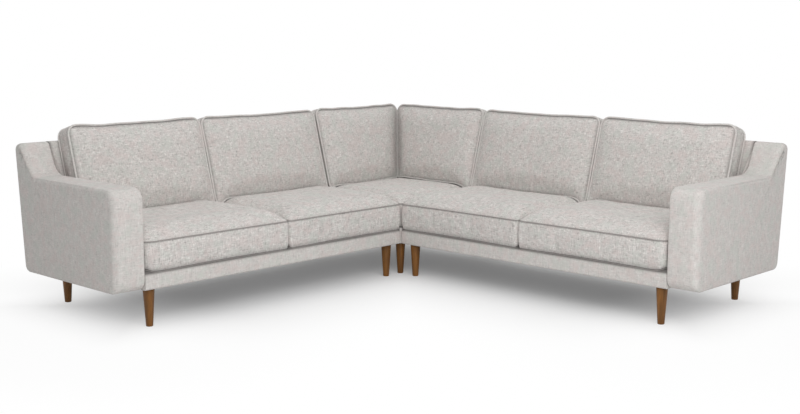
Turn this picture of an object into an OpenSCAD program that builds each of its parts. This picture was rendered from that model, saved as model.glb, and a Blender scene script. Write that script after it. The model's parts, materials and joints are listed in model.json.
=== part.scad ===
// Sectional sofa: two upholstered wings with box arms that hook onto a square corner section.
// Loose boxed seat cushions and back cushions lie on the three sections.
// Units are millimetres, +Z is up. Each module is drawn from the inner corner of the L, where the
// two seat fronts meet: the left wing runs along -X and its back is at +Y. The right wing is the
// same section mirrored across the diagonal. At the end all of it moves so that the middle of the
// footprint is at zero.

/* [Overall] */
// Length of each wing, from the inner corner to the outside of its arm
wing_l = 1712; // [1600:1:1900]
// Depth of every section, from the rail front to the rear edge of the back at its top
depth = 790; // [770:1:840]
// Height of the backs and of the rear wings of the arms
back_h = 757; // [730:1:800]
// Gap between two sections that stand side by side
section_gap = 0.6; // [0.4:0.1:2]

/* [Legs] */
// Height of the legs, from the floor to the underside of the seat frames
leg_h = 172; // [120:1:200]
// Diameter of a leg at its top
leg_top_d = 45; // [36:1:52]
// Diameter of a leg at the floor
leg_foot_d = 24; // [18:1:34]
// Rounded edge at the foot of a leg
leg_foot_r = 2; // [1:0.5:4]
// Distance from a rail front or a section end to the centre of the nearest leg
leg_inset = 54; // [50:1:70]
// Distance from the inside of the arm to the centre of the outer legs
arm_leg_inset = 50; // [46:1:70]
// Distance from the rear of the seat frame to the centre of the rear legs
rear_leg_inset = 29; // [26:1:50]
// Diameter of the hanger bolts
bolt_d = 8; // [6:1:10]
// Depth of the bolt in the leg
bolt_depth = 26; // [20:1:40]

/* [Seat frame] */
// Height of the upholstered frame below the seat cushions
frame_h = 80; // [70:1:110]
// Thickness of the hardwood boards
board_t = 22; // [18:1:28]
// Thickness of the padded cover on the seat frame and the backs
cover_t = 10; // [8:1:14]
// Thickness of the leg plates
plate_t = 18; // [12:1:22]
// Length and width of the leg plates
plate_w = 88; // [76:1:110]
// Thickness of the dust cloth
cloth_t = 2; // [1:0.5:3]
// Thickness of the seat deck pad
deck_t = 8; // [6:1:14]
// Rounded edges of the front rail cover
rail_edge_r = 10; // [6:1:12]

/* [Webbing] */
// Width of a webbing strap
strap_w = 50; // [40:1:60]
// Thickness of a webbing strap
strap_t = 2; // [1.5:0.5:3]
// Wanted distance from strap to strap
strap_pitch = 120; // [80:1:150]
// Width of the rebate that a strap is stapled into
rebate_w = 12; // [8:1:16]

/* [Arms] */
// Width of an arm
arm_w = 145; // [120:1:180]
// Height of the arm in front of its rear wing
arm_h = 611; // [560:1:640]
// Thickness of the rear wing at its top
wing_top_t = 50; // [50:1:60]
// Lean of the rear wing's front edge from upright
wing_lean = 24.6; // [16:0.1:30]
// Radius of the curve from the arm's top into its rear wing
wing_curve_r = 95; // [60:1:110]
// Radius of the front top corner
arm_front_r = 55; // [30:1:80]
// Radius of the two bottom corners
arm_foot_r = 35; // [27:1:50]
// Soft edge all round the outer side of the arm
arm_soft_r = 25; // [12:1:26]
// Soft edge all round the inner side of the arm
arm_inner_r = 8; // [4:1:12]
// Thickness of the padding and cover on the arm
arm_pad_t = 14; // [10:1:20]
// Distance from the rail front to the first bolt that holds the arm
arm_bolt_first = 150; // [130:1:180]
// Distance from one arm bolt to the next
arm_bolt_pitch = 230; // [180:1:240]

/* [Backs] */
// Lean of the inside of the backs from upright
back_lean = 15.4; // [10:0.1:18]
// Thickness of the backs at their top
back_top_t = 47; // [46:1:60]
// How far the rear of the back leans out, from the underside to the top
rear_rake = 45; // [20:1:60]
// Soft edge at the outer corner of the corner section
corner_soft_r = 40; // [20:1:60]
// Thickness of the ribs in the backs
rib_t = 18; // [12:1:24]

/* [Seat cushions] */
// Height of the boxing, from the lower seam to the upper seam
seat_t = 125; // [100:1:150]
// Height of the crown above the upper seam
seat_crown = 58; // [15:1:65]
// Height of the crown of the corner seat, which two back cushions press down
corner_crown = 46; // [15:1:65]
// Fullness of the crown: a higher power keeps the seat level nearer to its seams
seat_power = 8; // [2:0.5:8]
// Distance from the inner corner to the seam between the two seats of a wing
seat_split = 762; // [720:1:900]
// Radius of the cushion corners beside the arm
seat_arm_r = 60; // [20:1:90]
// Radius of the other cushion corners
seat_corner_r = 16; // [10:1:40]
// Setback of the seat front from the rail front
seat_setback = 2; // [0:1:10]

/* [Back cushions] */
// Height of the face, along its lean, from seam to seam
back_cushion_h = 441; // [400:1:500]
// Thickness of the boxing at the seams
back_cushion_t = 85; // [70:1:110]
// Crown of the front face
front_crown = 38; // [15:1:50]
// Crown of the rear face
rear_crown = 10; // [5:1:20]
// Distance from the inside of the arm to the side of the outer back cushion
arm_clear = 39; // [10:1:60]
// Radius of the upper corners
top_corner_r = 48; // [20:1:70]
// Radius of the lower corners
low_corner_r = 26; // [15:1:50]
// How far the lower side arches up in its middle, over the crown of the seat
foot_draw = 18; // [5:1:25]

/* [Cushion forms] */
// Room for the piping round each cushion
piping_room = 5; // [3:0.5:8]
// How far the sides pull in between the corners
side_draw = 5; // [0:0.5:12]
// Swell of the boxing between its two seams
boxing_swell = 3; // [0:0.5:4.5]
// Fullness of the back cushions' faces: a higher power keeps them flatter in the middle
face_power = 4; // [2:0.5:6]
// Clearance between a soft piece and what it lies on
rest_gap = 0.6; // [0.5:0.1:0.8]

/* [Section hooks] */
// Width of a hook
hook_w = 36; // [24:1:50]
// Length of the prong that drops into the socket
prong_l = 26; // [18:1:30]
// Distance from the rail front to the first hook
hook_first = 170; // [150:1:220]
// Distance from the first hook to the second
hook_pitch = 300; // [200:1:330]
// Clearance between a hook and its socket
hook_clear = 0.3; // [0.2:0.1:0.5]

/* [Hidden] */

// Colours of the fabric, the woods, the steel and the cloths
fabric = [0.80, 0.78, 0.75];
walnut = [0.42, 0.26, 0.14];
hardwood = [0.78, 0.64, 0.44];
plywood = [0.84, 0.72, 0.53];
steel = [0.62, 0.63, 0.65];
strap_black = [0.16, 0.16, 0.17];
cloth_grey = [0.30, 0.30, 0.31];

// Glue line between two boards
glue = 0.1;
// Amount that a cutter reaches past what it cuts
over = 1;
// Half the gap between two sections, so their outer faces lie this far from the joint plane
face = section_gap / 2;
// Size of the nut plate on a hanger bolt
nut_r = bolt_d * 1.2;
nut_t = bolt_d * 0.4;
// Facets of the round parts
$fn = 48;

// Levels of the seat frame
deck_z = leg_h + frame_h;
board_top = deck_z - deck_t;
board_low = leg_h + cloth_t;
plate_top = board_low + plate_t;
strap_z = board_top - strap_t;
cross_strap_z = strap_z - strap_t - 2 * glue;

// Places along the depth
rear_low_y = depth - rear_rake;
wood_front = cover_t;
front_in = wood_front + board_t;
wood_rear = rear_low_y - cover_t - 2;
rear_in = wood_rear - board_t;
rear_leg_y = rear_low_y - rear_leg_inset;

// Places along a wing
arm_in = wing_l - arm_w;
end_out = face + cover_t;
end_in = end_out + board_t;
arm_leg_x = arm_in - arm_leg_inset;

// Inside face of the backs: its distance from the rail front at height z
function back_front(z) = depth - back_top_t - (back_h - z) * tan(back_lean);
// Rear face of the backs at height z
function back_rear(z) = rear_low_y + (z - leg_h) * rear_rake / (back_h - leg_h);

// Outline tools

function unit(v) = v / norm(v);
function turned(v, a) = [v.x * cos(a) - v.y * sin(a), v.x * sin(a) + v.y * cos(a)];

// One rounded corner: points with their outward normals, for a corner p = [x, y, radius, steps]
function corner_arc(before, p, after) =
    let (
        here = [p.x, p.y],
        along = unit(here - [before.x, before.y]),
        onward = unit([after.x, after.y] - here),
        bend = cross(along, onward) > 0 ? 1 : -1,
        angle = acos(along * onward),
        start = here - along * p[2] * tan(angle / 2),
        out = [along.y, -along.x],
        centre = start - bend * p[2] * out
    )
    p[2] == 0 ? [[here, out]]
              : [for (k = [0:p[3]]) let (n = turned(out, bend * angle * k / p[3])) [centre + bend * p[2] * n, n]];

// A closed anticlockwise outline with rounded corners, as [point, normal] pairs
function rounded(corners) =
    let (n = len(corners))
    [for (i = [0:n - 1], q = corner_arc(corners[(i + n - 1) % n], corners[i], corners[(i + 1) % n])) q];

// The points of an outline drawn in by d along its normals
function drawn_in(outline, d) = [for (q = outline) q[0] - d * q[1]];

// A closed body through rings of points, anticlockwise about the way they run
module lofted(rings, poles = false) {
    n = len(rings[0]);
    m = len(rings);
    mean_first = [for (k = [0:2]) [for (q = rings[0]) 1] * [for (q = rings[0]) q[k]] / n];
    mean_last = [for (k = [0:2]) [for (q = rings[0]) 1] * [for (q = rings[m - 1]) q[k]] / n];
    points = concat([for (ring = rings, q = ring) q], [mean_first, mean_last]);
    sides = [for (i = [0:m - 2], j = [0:n - 1]) let (a = i * n + j, b = i * n + (j + 1) % n)
        each [[a, a + n, b + n], [a, b + n, b]]];
    fans = [for (j = [0:n - 1]) let (k = (j + 1) % n, low = m * n, top = (m - 1) * n)
        each [[low, j, k], [low + 1, top + k, top + j]]];
    flats = [[for (j = [0:n - 1]) j], [for (j = [n - 1:-1:0]) (m - 1) * n + j]];
    polyhedron(points = points, faces = concat(sides, poles ? fans : flats), convexity = 6);
}

// A slab of the given YZ outline along X, with soft edges round its two ends
module soft_slab(outline, x0, x1, r0, r1, steps) {
    low = r0 > 0 ? [for (k = [0:steps]) let (a = 90 * k / steps) [x0 + r0 * (1 - cos(a)), r0 * (1 - sin(a))]]
                 : [[x0, 0]];
    high = r1 > 0 ? [for (k = [0:steps]) let (a = 90 * k / steps) [x1 - r1 * (1 - sin(a)), r1 * (1 - cos(a))]]
                  : [[x1, 0]];
    lofted([for (s = concat(low, high)) [for (q = drawn_in(outline, s[1])) [s[0], q.x, q.y]]]);
}

// A prism of YZ points from x0 to x1
module prism_x(points, x0, x1) {
    translate([x0, 0, 0]) rotate([90, 0, 90]) linear_extrude(x1 - x0) polygon(points);
}

// A box between two opposite corners
module block(a, b) {
    translate(a) cube(b - a);
}

// Outlines in YZ

arm_outline = rounded([
    [0, leg_h, arm_foot_r, 4],
    [rear_low_y, leg_h, arm_foot_r, 4],
    [depth, back_h, arm_soft_r + 3, 5],
    [depth - wing_top_t, back_h, arm_soft_r + 1, 4],
    [depth - wing_top_t - (back_h - arm_h) * tan(wing_lean), arm_h, wing_curve_r, 5],
    [0, arm_h, arm_front_r, 6]
]);
back_outline = rounded([
    [back_front(deck_z), leg_h, cover_t + 2, 2],
    [rear_low_y, leg_h, cover_t + 2, 3],
    [depth, back_h, cover_t + 14, 5],
    [depth - back_top_t, back_h, cover_t + 8, 4],
    [back_front(deck_z), deck_z, 2 * cover_t, 2]
]);

// Distance from the inner corner to the middle of the footprint
rear_reach = max([for (q = concat(arm_outline, back_outline)) q[0].x]);
mid = (wing_l - rear_reach) / 2;

module left() {
    translate([mid, mid, 0]) children();
}

module right() {
    translate([mid, mid, 0]) mirror([1, -1, 0]) children();
}

// Half of the plan on the left wing's side of the diagonal
module left_of_diagonal() {
    intersection() {
        children();
        linear_extrude(back_h + over) polygon([[-over, -over], [depth + over, depth + over], [-over, depth + over]]);
    }
}

// Legs

module leg() {
    color(walnut)
    rotate_extrude() polygon([
        [0, 0],
        [leg_foot_d / 2 - leg_foot_r, 0],
        [leg_foot_d / 2, leg_foot_r],
        [leg_top_d / 2, leg_h],
        [bolt_d / 2 + glue, leg_h],
        [bolt_d / 2 + glue, leg_h - bolt_depth - over],
        [0, leg_h - bolt_depth - over]
    ]);
}

// A hanger bolt with the nut plate on top of the leg plate
module leg_bolt() {
    color(steel) {
        translate([0, 0, leg_h - bolt_depth]) cylinder(h = plate_top + nut_t - leg_h + bolt_depth, d = bolt_d);
        translate([0, 0, plate_top]) cylinder(h = nut_t, r = nut_r);
    }
}

module nut_room() {
    translate([0, 0, plate_top - over]) cylinder(h = nut_t + over + glue, r = nut_r + glue);
}

module bolt_hole(low, high) {
    translate([0, 0, low - over]) cylinder(h = high - low + 2 * over, d = bolt_d + 2 * glue);
}

wing_legs = [for (x = [-leg_inset, -arm_leg_x], y = [leg_inset, rear_leg_y]) [x, y, 0]];
corner_legs = [for (x = [leg_inset, rear_leg_y], y = [leg_inset, rear_leg_y]) [x, y, 0]];

module at_each(places) {
    for (p = places) translate(p) children();
}

// Seat frame boards

// The corners of the leg plates: near and far edges along one direction
function plate_span(low_wall, high_wall) = [[low_wall, low_wall + plate_w], [high_wall - plate_w, high_wall]];

module leg_plates(x_spans, y_spans, legs) {
    color(plywood)
    difference() {
        for (x = x_spans, y = y_spans)
            block([x[0] + glue, y[0] + glue, board_low], [x[1] - glue, y[1] - glue, plate_top]);
        at_each(legs) bolt_hole(board_low, plate_top);
    }
}

// Room for the leg plates in the boards that pass over them
module plate_room(x_spans, y_spans) {
    for (x = x_spans, y = y_spans)
        block([x[0], y[0], board_low - over], [x[1], y[1], plate_top + glue]);
}

wing_x_spans = plate_span(-arm_in + board_t + glue, -end_in);
wing_y_spans = plate_span(front_in, wood_rear);
corner_x_spans = plate_span(end_in, wood_rear);

module front_rail() {
    color(hardwood)
    difference() {
        block([-arm_in + glue, wood_front + glue, board_low], [-end_out - glue, front_in, board_top]);
        block([-arm_in, front_in - rebate_w, strap_z], [-end_out, front_in + over, board_top + over]);
    }
}

module rear_rail() {
    color(hardwood)
    difference() {
        block([-arm_in + glue, rear_in, board_low], [-end_out - glue, wood_rear, board_top]);
        block([-arm_in, rear_in - over, strap_z], [-end_out, rear_in + rebate_w, board_top + over]);
        plate_room(wing_x_spans, wing_y_spans);
        at_each(wing_legs) nut_room();
    }
}

// End rail at the arm, end rail at the corner, and a lower centre rail under the webbing
module cross_rails() {
    low_y = front_in + glue;
    high_y = rear_in - glue;
    centre = -(arm_in + face) / 2;
    arm_end = -arm_in + board_t;
    color(hardwood)
    difference() {
        union() {
            block([-arm_in + glue, low_y, board_low], [arm_end, high_y, board_top]);
            block([-end_in, low_y, board_low], [-end_out - glue, high_y, board_top]);
            block([centre - board_t / 2, low_y, board_low], [centre + board_t / 2, high_y, cross_strap_z - strap_t]);
        }
        block([arm_end - rebate_w, low_y - over, cross_strap_z], [arm_end + over, high_y + over, board_top + over]);
        block([-end_in - over, low_y - over, cross_strap_z], [-end_in + rebate_w, high_y + over, board_top + over]);
        arm_bolt_holes();
    }
}

// Webbing: straps from front to rear, and straps across just under them
function spread(from, to) =
    let (count = max(1, floor((to - from - strap_w) / strap_pitch)))
    [for (i = [0:count]) from + strap_w / 2 + i * (to - from - strap_w) / count];

module webbing(x0, x1, y0, y1) {
    color(strap_black) {
        for (x = spread(x0 + strap_w / 2, x1 - strap_w / 2))
            block([x - strap_w / 2, y0 - rebate_w + glue, strap_z], [x + strap_w / 2, y1 + rebate_w - glue, board_top]);
        for (y = spread(y0 + strap_w / 2, back_front(deck_z)))
            block([x0 - rebate_w + glue, y - strap_w / 2, cross_strap_z],
                  [x1 + rebate_w - glue, y + strap_w / 2, cross_strap_z + strap_t]);
    }
}

module seat_deck(x0, x1, y0) {
    color(cloth_grey) block([x0 + glue, y0 + glue, board_top], [x1 - glue, back_front(deck_z) - glue, deck_z]);
}

module dust_cloth(x0, x1, y0, legs) {
    color(strap_black)
    difference() {
        block([x0 + glue, y0 + glue, leg_h], [x1 - glue, wood_rear, board_low]);
        at_each(legs) bolt_hole(leg_h, board_low);
    }
}

// Covers of the seat frame

// A folded cover round the front rail: its plan has a rounded corner at the end of the wing
module rail_cover() {
    skin = rounded([
        [0, leg_h, rail_edge_r, 4],
        [front_in, leg_h, 0],
        [front_in, deck_z, 0],
        [0, deck_z, rail_edge_r, 4]
    ]);
    plan = rounded([
        [-arm_in - over, 0, 0],
        [-face, 0, cover_t, 6],
        [-face, front_in + over, 0],
        [-arm_in - over, front_in + over, 0]
    ]);
    color(fabric)
    intersection() {
        difference() {
            prism_x(drawn_in(skin, 0), -arm_in, -face);
            block([-arm_in - over, wood_front, board_low - glue], [-end_out, front_in + over, board_top + glue]);
        }
        linear_extrude(deck_z + over) polygon(drawn_in(plan, 0));
    }
}

// Places of the hooks along the joint between two sections, and their levels
hook_places = [hook_first, hook_first + hook_pitch];
prong_t = 3;
socket_t = 2.6;
prong_low = leg_h + 20;
prong_top = prong_low + prong_l;
plate_low = prong_low - 12;
// Distances of the prong and the socket strap from the joint plane
strap_in = face + hook_clear;
prong_in = strap_in + socket_t + hook_clear;
pad_in = prong_in + prong_t + hook_clear;

module end_cover() {
    color(fabric)
    difference() {
        block([-end_out, front_in + glue, leg_h], [-face, back_front(deck_z) - glue, deck_z]);
        for (y = hook_places)
            block([-end_out - over, y - hook_w / 2 - over, plate_low - over],
                  [over, y + hook_w / 2 + over, prong_top + over]);
    }
}

// Hooks of a wing: a plate on the end rail, a bridge over the socket and a prong that drops into it
module hooks() {
    color(steel)
    for (y = hook_places)
        translate([0, y + hook_w / 2, 0]) rotate([90, 0, 0]) linear_extrude(hook_w) polygon([
            [-end_out + glue, plate_low],
            [-end_out + prong_t, plate_low],
            [-end_out + prong_t, prong_top - prong_t],
            [prong_in, prong_top - prong_t],
            [prong_in, prong_low],
            [prong_in + prong_t, prong_low],
            [prong_in + prong_t, prong_top],
            [-end_out + glue, prong_top]
        ]);
}

// Sockets of the corner section: a bent strap that holds the prong against its plate
module hook_socket() {
    half = hook_w / 2 + hook_clear;
    color(steel)
    translate([0, 0, prong_low - 2]) linear_extrude(prong_l - prong_t + 2 - hook_clear) polygon([
        [end_out - glue, -half - 3 * socket_t],
        [pad_in, -half - 3 * socket_t],
        [pad_in, -half - socket_t],
        [strap_in, -half - socket_t],
        [strap_in, half + socket_t],
        [pad_in, half + socket_t],
        [pad_in, half + 3 * socket_t],
        [end_out - glue, half + 3 * socket_t],
        [end_out - glue, half],
        [strap_in + socket_t, half],
        [strap_in + socket_t, -half],
        [end_out - glue, -half]
    ]);
}

module hook_sockets() {
    for (y = hook_places) {
        translate([0, y, 0]) hook_socket();
        mirror([1, -1, 0]) translate([0, y, 0]) hook_socket();
    }
}

// Two cover panels that meet in the rounded post at the inner corner
module base_covers() {
    module panel() {
        arc = [for (k = [0:4]) let (a = 180 + 45 * k / 4) [face + cover_t * (1 + cos(a)), face + cover_t * (1 + sin(a))]];
        difference() {
            linear_extrude(frame_h) polygon(concat(
                [[end_out - glue, end_out], [end_out - glue, back_front(deck_z) - glue], [face, back_front(deck_z) - glue]],
                arc
            ));
            for (y = hook_places)
                block([0, y - hook_w / 2 - 4 * socket_t, prong_low - leg_h - 2 - glue],
                      [end_out + over, y + hook_w / 2 + 4 * socket_t, frame_h + over]);
        }
    }
    color(fabric)
    translate([0, 0, leg_h]) {
        translate([0, glue, 0]) panel();
        mirror([1, -1, 0]) translate([0, glue, 0]) panel();
    }
}

module corner_rails() {
    module rebated(low, high, cut_low, cut_high, z) {
        difference() {
            block(low, high);
            block([cut_low.x, cut_low.y, z], [cut_high.x, cut_high.y, board_top + over]);
            plate_room(corner_x_spans, corner_x_spans);
            at_each(corner_legs) nut_room();
        }
    }
    color(hardwood) {
        rebated([end_out, front_in + face + glue, board_low], [end_in, rear_in - glue, board_top],
                [end_in - rebate_w, 0], [end_in + over, depth], cross_strap_z);
        rebated([end_out, end_out, board_low], [wood_rear, end_in, board_top],
                [0, end_in - rebate_w], [depth, end_in + over], strap_z);
        rebated([end_out, rear_in, board_low], [wood_rear, wood_rear, board_top],
                [0, rear_in - over], [depth, rear_in + rebate_w], strap_z);
        rebated([rear_in, front_in + face + glue, board_low], [wood_rear, rear_in - glue, board_top],
                [rear_in - over, 0], [rear_in + rebate_w, depth], cross_strap_z);
    }
}

// Arms

// Cavity of the arm cover, and the box frame that fills it
module arm_core(inset, side) {
    prism_x(drawn_in(arm_outline, inset), -wing_l + side, -arm_in - side);
}

module arm_bolt_holes() {
    at_each(arm_bolt_places) rotate([0, -90, 0]) bolt_hole(-board_t, arm_pad_t + 2 * rib_t);
}

arm_bolt_places = [for (i = [0:2]) [-arm_in, arm_bolt_first + i * arm_bolt_pitch, (board_low + board_top) / 2]];

module arm_bolts() {
    head_t = bolt_d * 0.6;
    color(steel)
    at_each(arm_bolt_places) rotate([0, -90, 0]) {
        translate([0, 0, -board_t - head_t]) cylinder(h = head_t, d = 2 * bolt_d);
        translate([0, 0, -board_t - glue]) cylinder(h = board_t + arm_pad_t + rib_t + glue, d = bolt_d);
    }
}

module arm_cover() {
    color(fabric)
    difference() {
        soft_slab(arm_outline, -wing_l, -arm_in, arm_soft_r, arm_inner_r, 4);
        arm_core(arm_pad_t, arm_pad_t);
        arm_bolt_holes();
    }
}

// Two cheeks with boards between them all round, open on the inner side for the bolts
module arm_frame() {
    window = arm_pad_t + 2 * board_t;
    color(plywood)
    difference() {
        arm_core(arm_pad_t + glue, arm_pad_t + glue);
        prism_x(drawn_in(rounded([
            [0, leg_h, window + 4, 3],
            [rear_low_y, leg_h, window + 4, 3],
            [back_rear(arm_h), arm_h, window + 4, 3],
            [0, arm_h, window + 4, 3]
        ]), window), -wing_l + arm_pad_t + rib_t, -arm_in - arm_pad_t - rib_t);
        block([-arm_in - arm_w / 2, depth * 0.2, deck_z + board_t], [-arm_in, depth * 0.7, arm_h - 2 * window]);
        arm_bolt_holes();
    }
}

// Backs

// Cavity of a back cover: the outline drawn in, and open to the seat frame below the deck
module back_core(x0, x1) {
    prism_x(drawn_in(back_outline, cover_t), x0, x1);
    prism_x([
        [back_front(deck_z) - over, leg_h - over],
        [back_rear(leg_h) - cover_t, leg_h - over],
        [back_rear(board_top) - cover_t, board_top],
        [back_front(deck_z) - over, board_top]
    ], x0, x1);
}

module back_cover() {
    color(fabric)
    difference() {
        soft_slab(back_outline, -arm_in, -face, 0, cover_t, 3);
        back_core(-arm_in - over, -end_out);
    }
}

// Ribs that stand on the seat frame, joined by a top rail and a lower rail
module back_frame(x0, x1, ribs) {
    band = board_t * 3;
    top = back_h - cover_t;
    lower = (deck_z + back_h) / 2;
    color(plywood)
    intersection() {
        prism_x(drawn_in(back_outline, cover_t + glue), x0, x1);
        union() {
            block([x0 - over, 0, top - band], [x1 + over, depth, top + over]);
            block([x0 - over, back_rear(lower) - cover_t - board_t, lower - band], [x1 + over, depth, lower]);
            block([x0 - over, back_rear(deck_z) - cover_t - board_t, board_top], [x1 + over, depth, board_top + band]);
            for (i = [0:ribs - 1]) let (x = x0 + i * (x1 - x0 - rib_t) / (ribs - 1))
                block([x, 0, board_top], [x + rib_t, depth, back_h]);
        }
    }
}

// The back of the corner section runs to the diagonal, round the soft outer corner
module corner_back_cover() {
    turns = 6;
    fold_r = 3 * glue;
    function through(y, z) = max(0, (y - back_front(z)) / (back_rear(z) - back_front(z)));
    function softness(y, z) = fold_r + (corner_soft_r - fold_r) * pow(through(y, z), 2);
    function swept(y, z, a) = let (r = softness(y, z)) [y - r + r * sin(a), y - r + r * cos(a), z];
    start = [for (s = [[0, 1], [0.3, 0.3], [1, 0]])
        [for (q = drawn_in(back_outline, cover_t * s[1])) [face + cover_t * s[0], q.x, q.y]]];
    color(fabric)
    difference() {
        lofted(concat(start, [for (k = [0:turns]) [for (q = back_outline) swept(q[0].x, q[0].y, 45 * k / turns)]]));
        left_of_diagonal() back_core(end_out, depth);
    }
}

// Cushions

// Steps along each side of a cushion seam
side_steps = 5;

// Corner points and side points of a cushion seam; each side pulls in between its corners, the
// first by draws[0] and so on
function seam(corners, draws) =
    let (n = len(corners), arcs = [for (i = [0:n - 1])
        corner_arc(corners[(i + n - 1) % n], corners[i], corners[(i + 1) % n])])
    [for (i = [0:n - 1]) let (from = arcs[i][len(arcs[i]) - 1], to = arcs[(i + 1) % n][0])
        each concat(
            [for (q = arcs[i]) q[0]],
            [for (k = [1:side_steps - 1]) let (t = k / side_steps)
                from[0] * (1 - t) + to[0] * t - draws[i] * 4 * t * (1 - t) * from[1]]
        )];

function middle(points) = [for (k = [0:1]) [for (q = points) 1] * [for (q = points) q[k]] / len(points)];

// Shares of the way from the middle of a face to its seam at which a cushion has a ring of points
face_rings = [1, 0.94, 0.84, 0.68, 0.4];

// How full a face is at p, from 0 along its edges to 1 in the middle; the corners c run from the
// lower left one anticlockwise
function fullness(p, c, power) =
    let (
        v = (p.y - c[0].y) / (c[3].y - c[0].y),
        left = c[0].x + v * (c[3].x - c[0].x),
        right = c[1].x + v * (c[2].x - c[1].x),
        u = (p.x - left) / (right - left)
    )
    (1 - pow(abs(2 * u - 1), power)) * (1 - pow(abs(2 * v - 1), power));

// A ring of a crowned face: the seam drawn to the share s, at the height that the crown has there
function crowned(line, corners, s, base, crown, power) =
    let (centre = middle(line))
    [for (q = line) let (p = centre + (q - centre) * s)
        [p.x, p.y, base + crown * (fullness(p, corners, power) - pow(s, 6) * fullness(q, corners, power))]];

// A boxed cushion: lower seam at 0, upper seam at t, each face crowned by its own height
module cushion(low_corners, top_corners, t, low_crown, top_crown, power, draws) {
    low = seam(low_corners, draws);
    top = seam(top_corners, draws);
    box_mid = (middle(low) + middle(top)) / 2;
    low_rings = [for (i = [len(face_rings) - 1:-1:0])
        if (low_crown > 0 || i == 0) crowned(low, low_corners, face_rings[i], 0, -low_crown, power)];
    box_ring = [for (i = [0:len(low) - 1])
        let (p = (low[i] + top[i]) / 2, q = p + boxing_swell * unit(p - box_mid)) [q.x, q.y, t / 2]];
    top_rings = [for (s = face_rings) crowned(top, top_corners, s, t, top_crown, power)];
    lofted(concat(low_rings, [box_ring], top_rings), poles = true);
}

// Cells of the cushions along X: each starts and ends with room for its piping
seat_rear = back_front(deck_z) - piping_room;
outer_seat_x = [-arm_in + piping_room, -seat_split - piping_room];
inner_seat_x = [-seat_split + piping_room, -piping_room];
corner_seat_x = [piping_room, seat_rear];
outer_back_x = [-arm_in + arm_clear, -seat_split - piping_room];

// A seat cushion over a cell; r_low and r_high are the corner radii at its two ends
module seat_cushion(cell, y0, r_low, r_high, crown) {
    plan = [
        [cell[0], y0, r_low, 4],
        [cell[1], y0, r_high, 4],
        [cell[1], seat_rear, seat_corner_r, 4],
        [cell[0], seat_rear, seat_corner_r, 4]
    ];
    color(fabric) translate([0, 0, deck_z + rest_gap])
        cushion(plan, plan, seat_t, 0, crown, seat_power, [for (i = [0:3]) side_draw]);
}

// Distance across a back cushion, square to its face, from the upper seam to the back
stack = back_cushion_t + rear_crown + rest_gap;
// Distance from the rail front to the lower front seam of a back cushion, for the seam's height
function seam_place(z) = back_front(z) - stack / cos(back_lean);
// Height of a seat cushion at p, over the rear half of its cell
function seat_height(p, cell, crown) =
    let (
        plan = [[cell[0], seat_setback], [cell[1], seat_setback], [cell[1], seat_rear], [cell[0], seat_rear]],
        centre = (plan[0] + plan[2]) / 2,
        s = (p.y - centre.y) / (seat_rear - side_draw - centre.y),
        q = [centre.x + (p.x - centre.x) / s, seat_rear - side_draw]
    )
    s > 1 ? 0 : deck_z + rest_gap + seat_t
        + crown * (fullness(p, plan, seat_power) - pow(s, 6) * max(0, fullness(q, plan, seat_power)));
// Share of its draw that a side has at t, on the straight line from one step to the next
function arch(t) =
    let (a = floor(t * side_steps) / side_steps, b = a + 1 / side_steps, f = (t - a) * side_steps)
    4 * (a * (1 - a) * (1 - f) + b * (1 - b) * f);
// Height at which the lower front seam of a back cushion clears the seat by the rest gap, all over
// the lower boxing: its seams are drawn in along their middle, and it swells between them
function settled(back, cell, crown, z, rounds) =
    rounds == 0 ? z : settled(back, cell, crown, rest_gap + max([for (i = [0:20], k = [0:10])
        let (
            t = i / 20,
            across = back_cushion_t * k / 10,
            up = foot_draw * arch(t) - boxing_swell * (1 - abs(k - 5) / 5),
            x = back[0] + low_corner_r + t * (back[1] - back[0] - 2 * low_corner_r),
            y = seam_place(z) + across * cos(back_lean) + up * sin(back_lean)
        )
        seat_height([x, y], cell, crown) + across * sin(back_lean) - up * cos(back_lean)]), rounds - 1);

// A back cushion from x0 to x1 whose lower front seam is at height z; mitre is 1 where its right
// side follows the diagonal
module back_cushion(x0, x1, z, mitre) {
    rise = mitre * back_cushion_h * sin(back_lean);
    splay = mitre * back_cushion_t * cos(back_lean);
    function face_corners(x_low, x_top) = [
        [x0, 0, low_corner_r, 4],
        [x_low, 0, low_corner_r, 4],
        [x_top, back_cushion_h, top_corner_r, 4],
        [x0, back_cushion_h, top_corner_r, 4]
    ];
    color(fabric)
    translate([0, seam_place(z), z]) rotate([90 - back_lean, 0, 0]) translate([0, 0, -back_cushion_t])
        cushion(face_corners(x1 + splay, x1 + rise + splay), face_corners(x1, x1 + rise),
                back_cushion_t, rear_crown, front_crown, face_power, [foot_draw, side_draw, side_draw, side_draw]);
}

module outer_seat() {
    seat_cushion(outer_seat_x, seat_setback, seat_arm_r, seat_corner_r, seat_crown);
}

module inner_seat() {
    seat_cushion(inner_seat_x, seat_setback, seat_corner_r, seat_corner_r, seat_crown);
}

module corner_seat() {
    seat_cushion(corner_seat_x, piping_room, seat_corner_r, seat_corner_r, corner_crown);
}

first_z = deck_z + seat_t + seat_crown / 2;

module outer_back() {
    z = settled(outer_back_x, outer_seat_x, seat_crown, first_z, 4);
    back_cushion(outer_back_x[0], outer_back_x[1], z, 0);
}

module inner_back() {
    z = settled(inner_seat_x, inner_seat_x, seat_crown, first_z, 4);
    back_cushion(inner_seat_x[0], inner_seat_x[1], z, 0);
}

module corner_back() {
    span = [corner_seat_x[0], seam_place(first_z) - piping_room];
    z = settled(span, corner_seat_x, corner_crown, first_z, 4);
    back_cushion(span[0], seam_place(z) - piping_room, z, 1);
}

// Nodes of the wings

module wing_legs() {
    at_each(wing_legs) leg();
}

module wing_bolts() {
    at_each(wing_legs) leg_bolt();
}

module wing_plates() {
    leg_plates(wing_x_spans, wing_y_spans, wing_legs);
}

module wing_webbing() {
    webbing(-arm_in + board_t, -end_in, front_in, rear_in);
}

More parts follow.
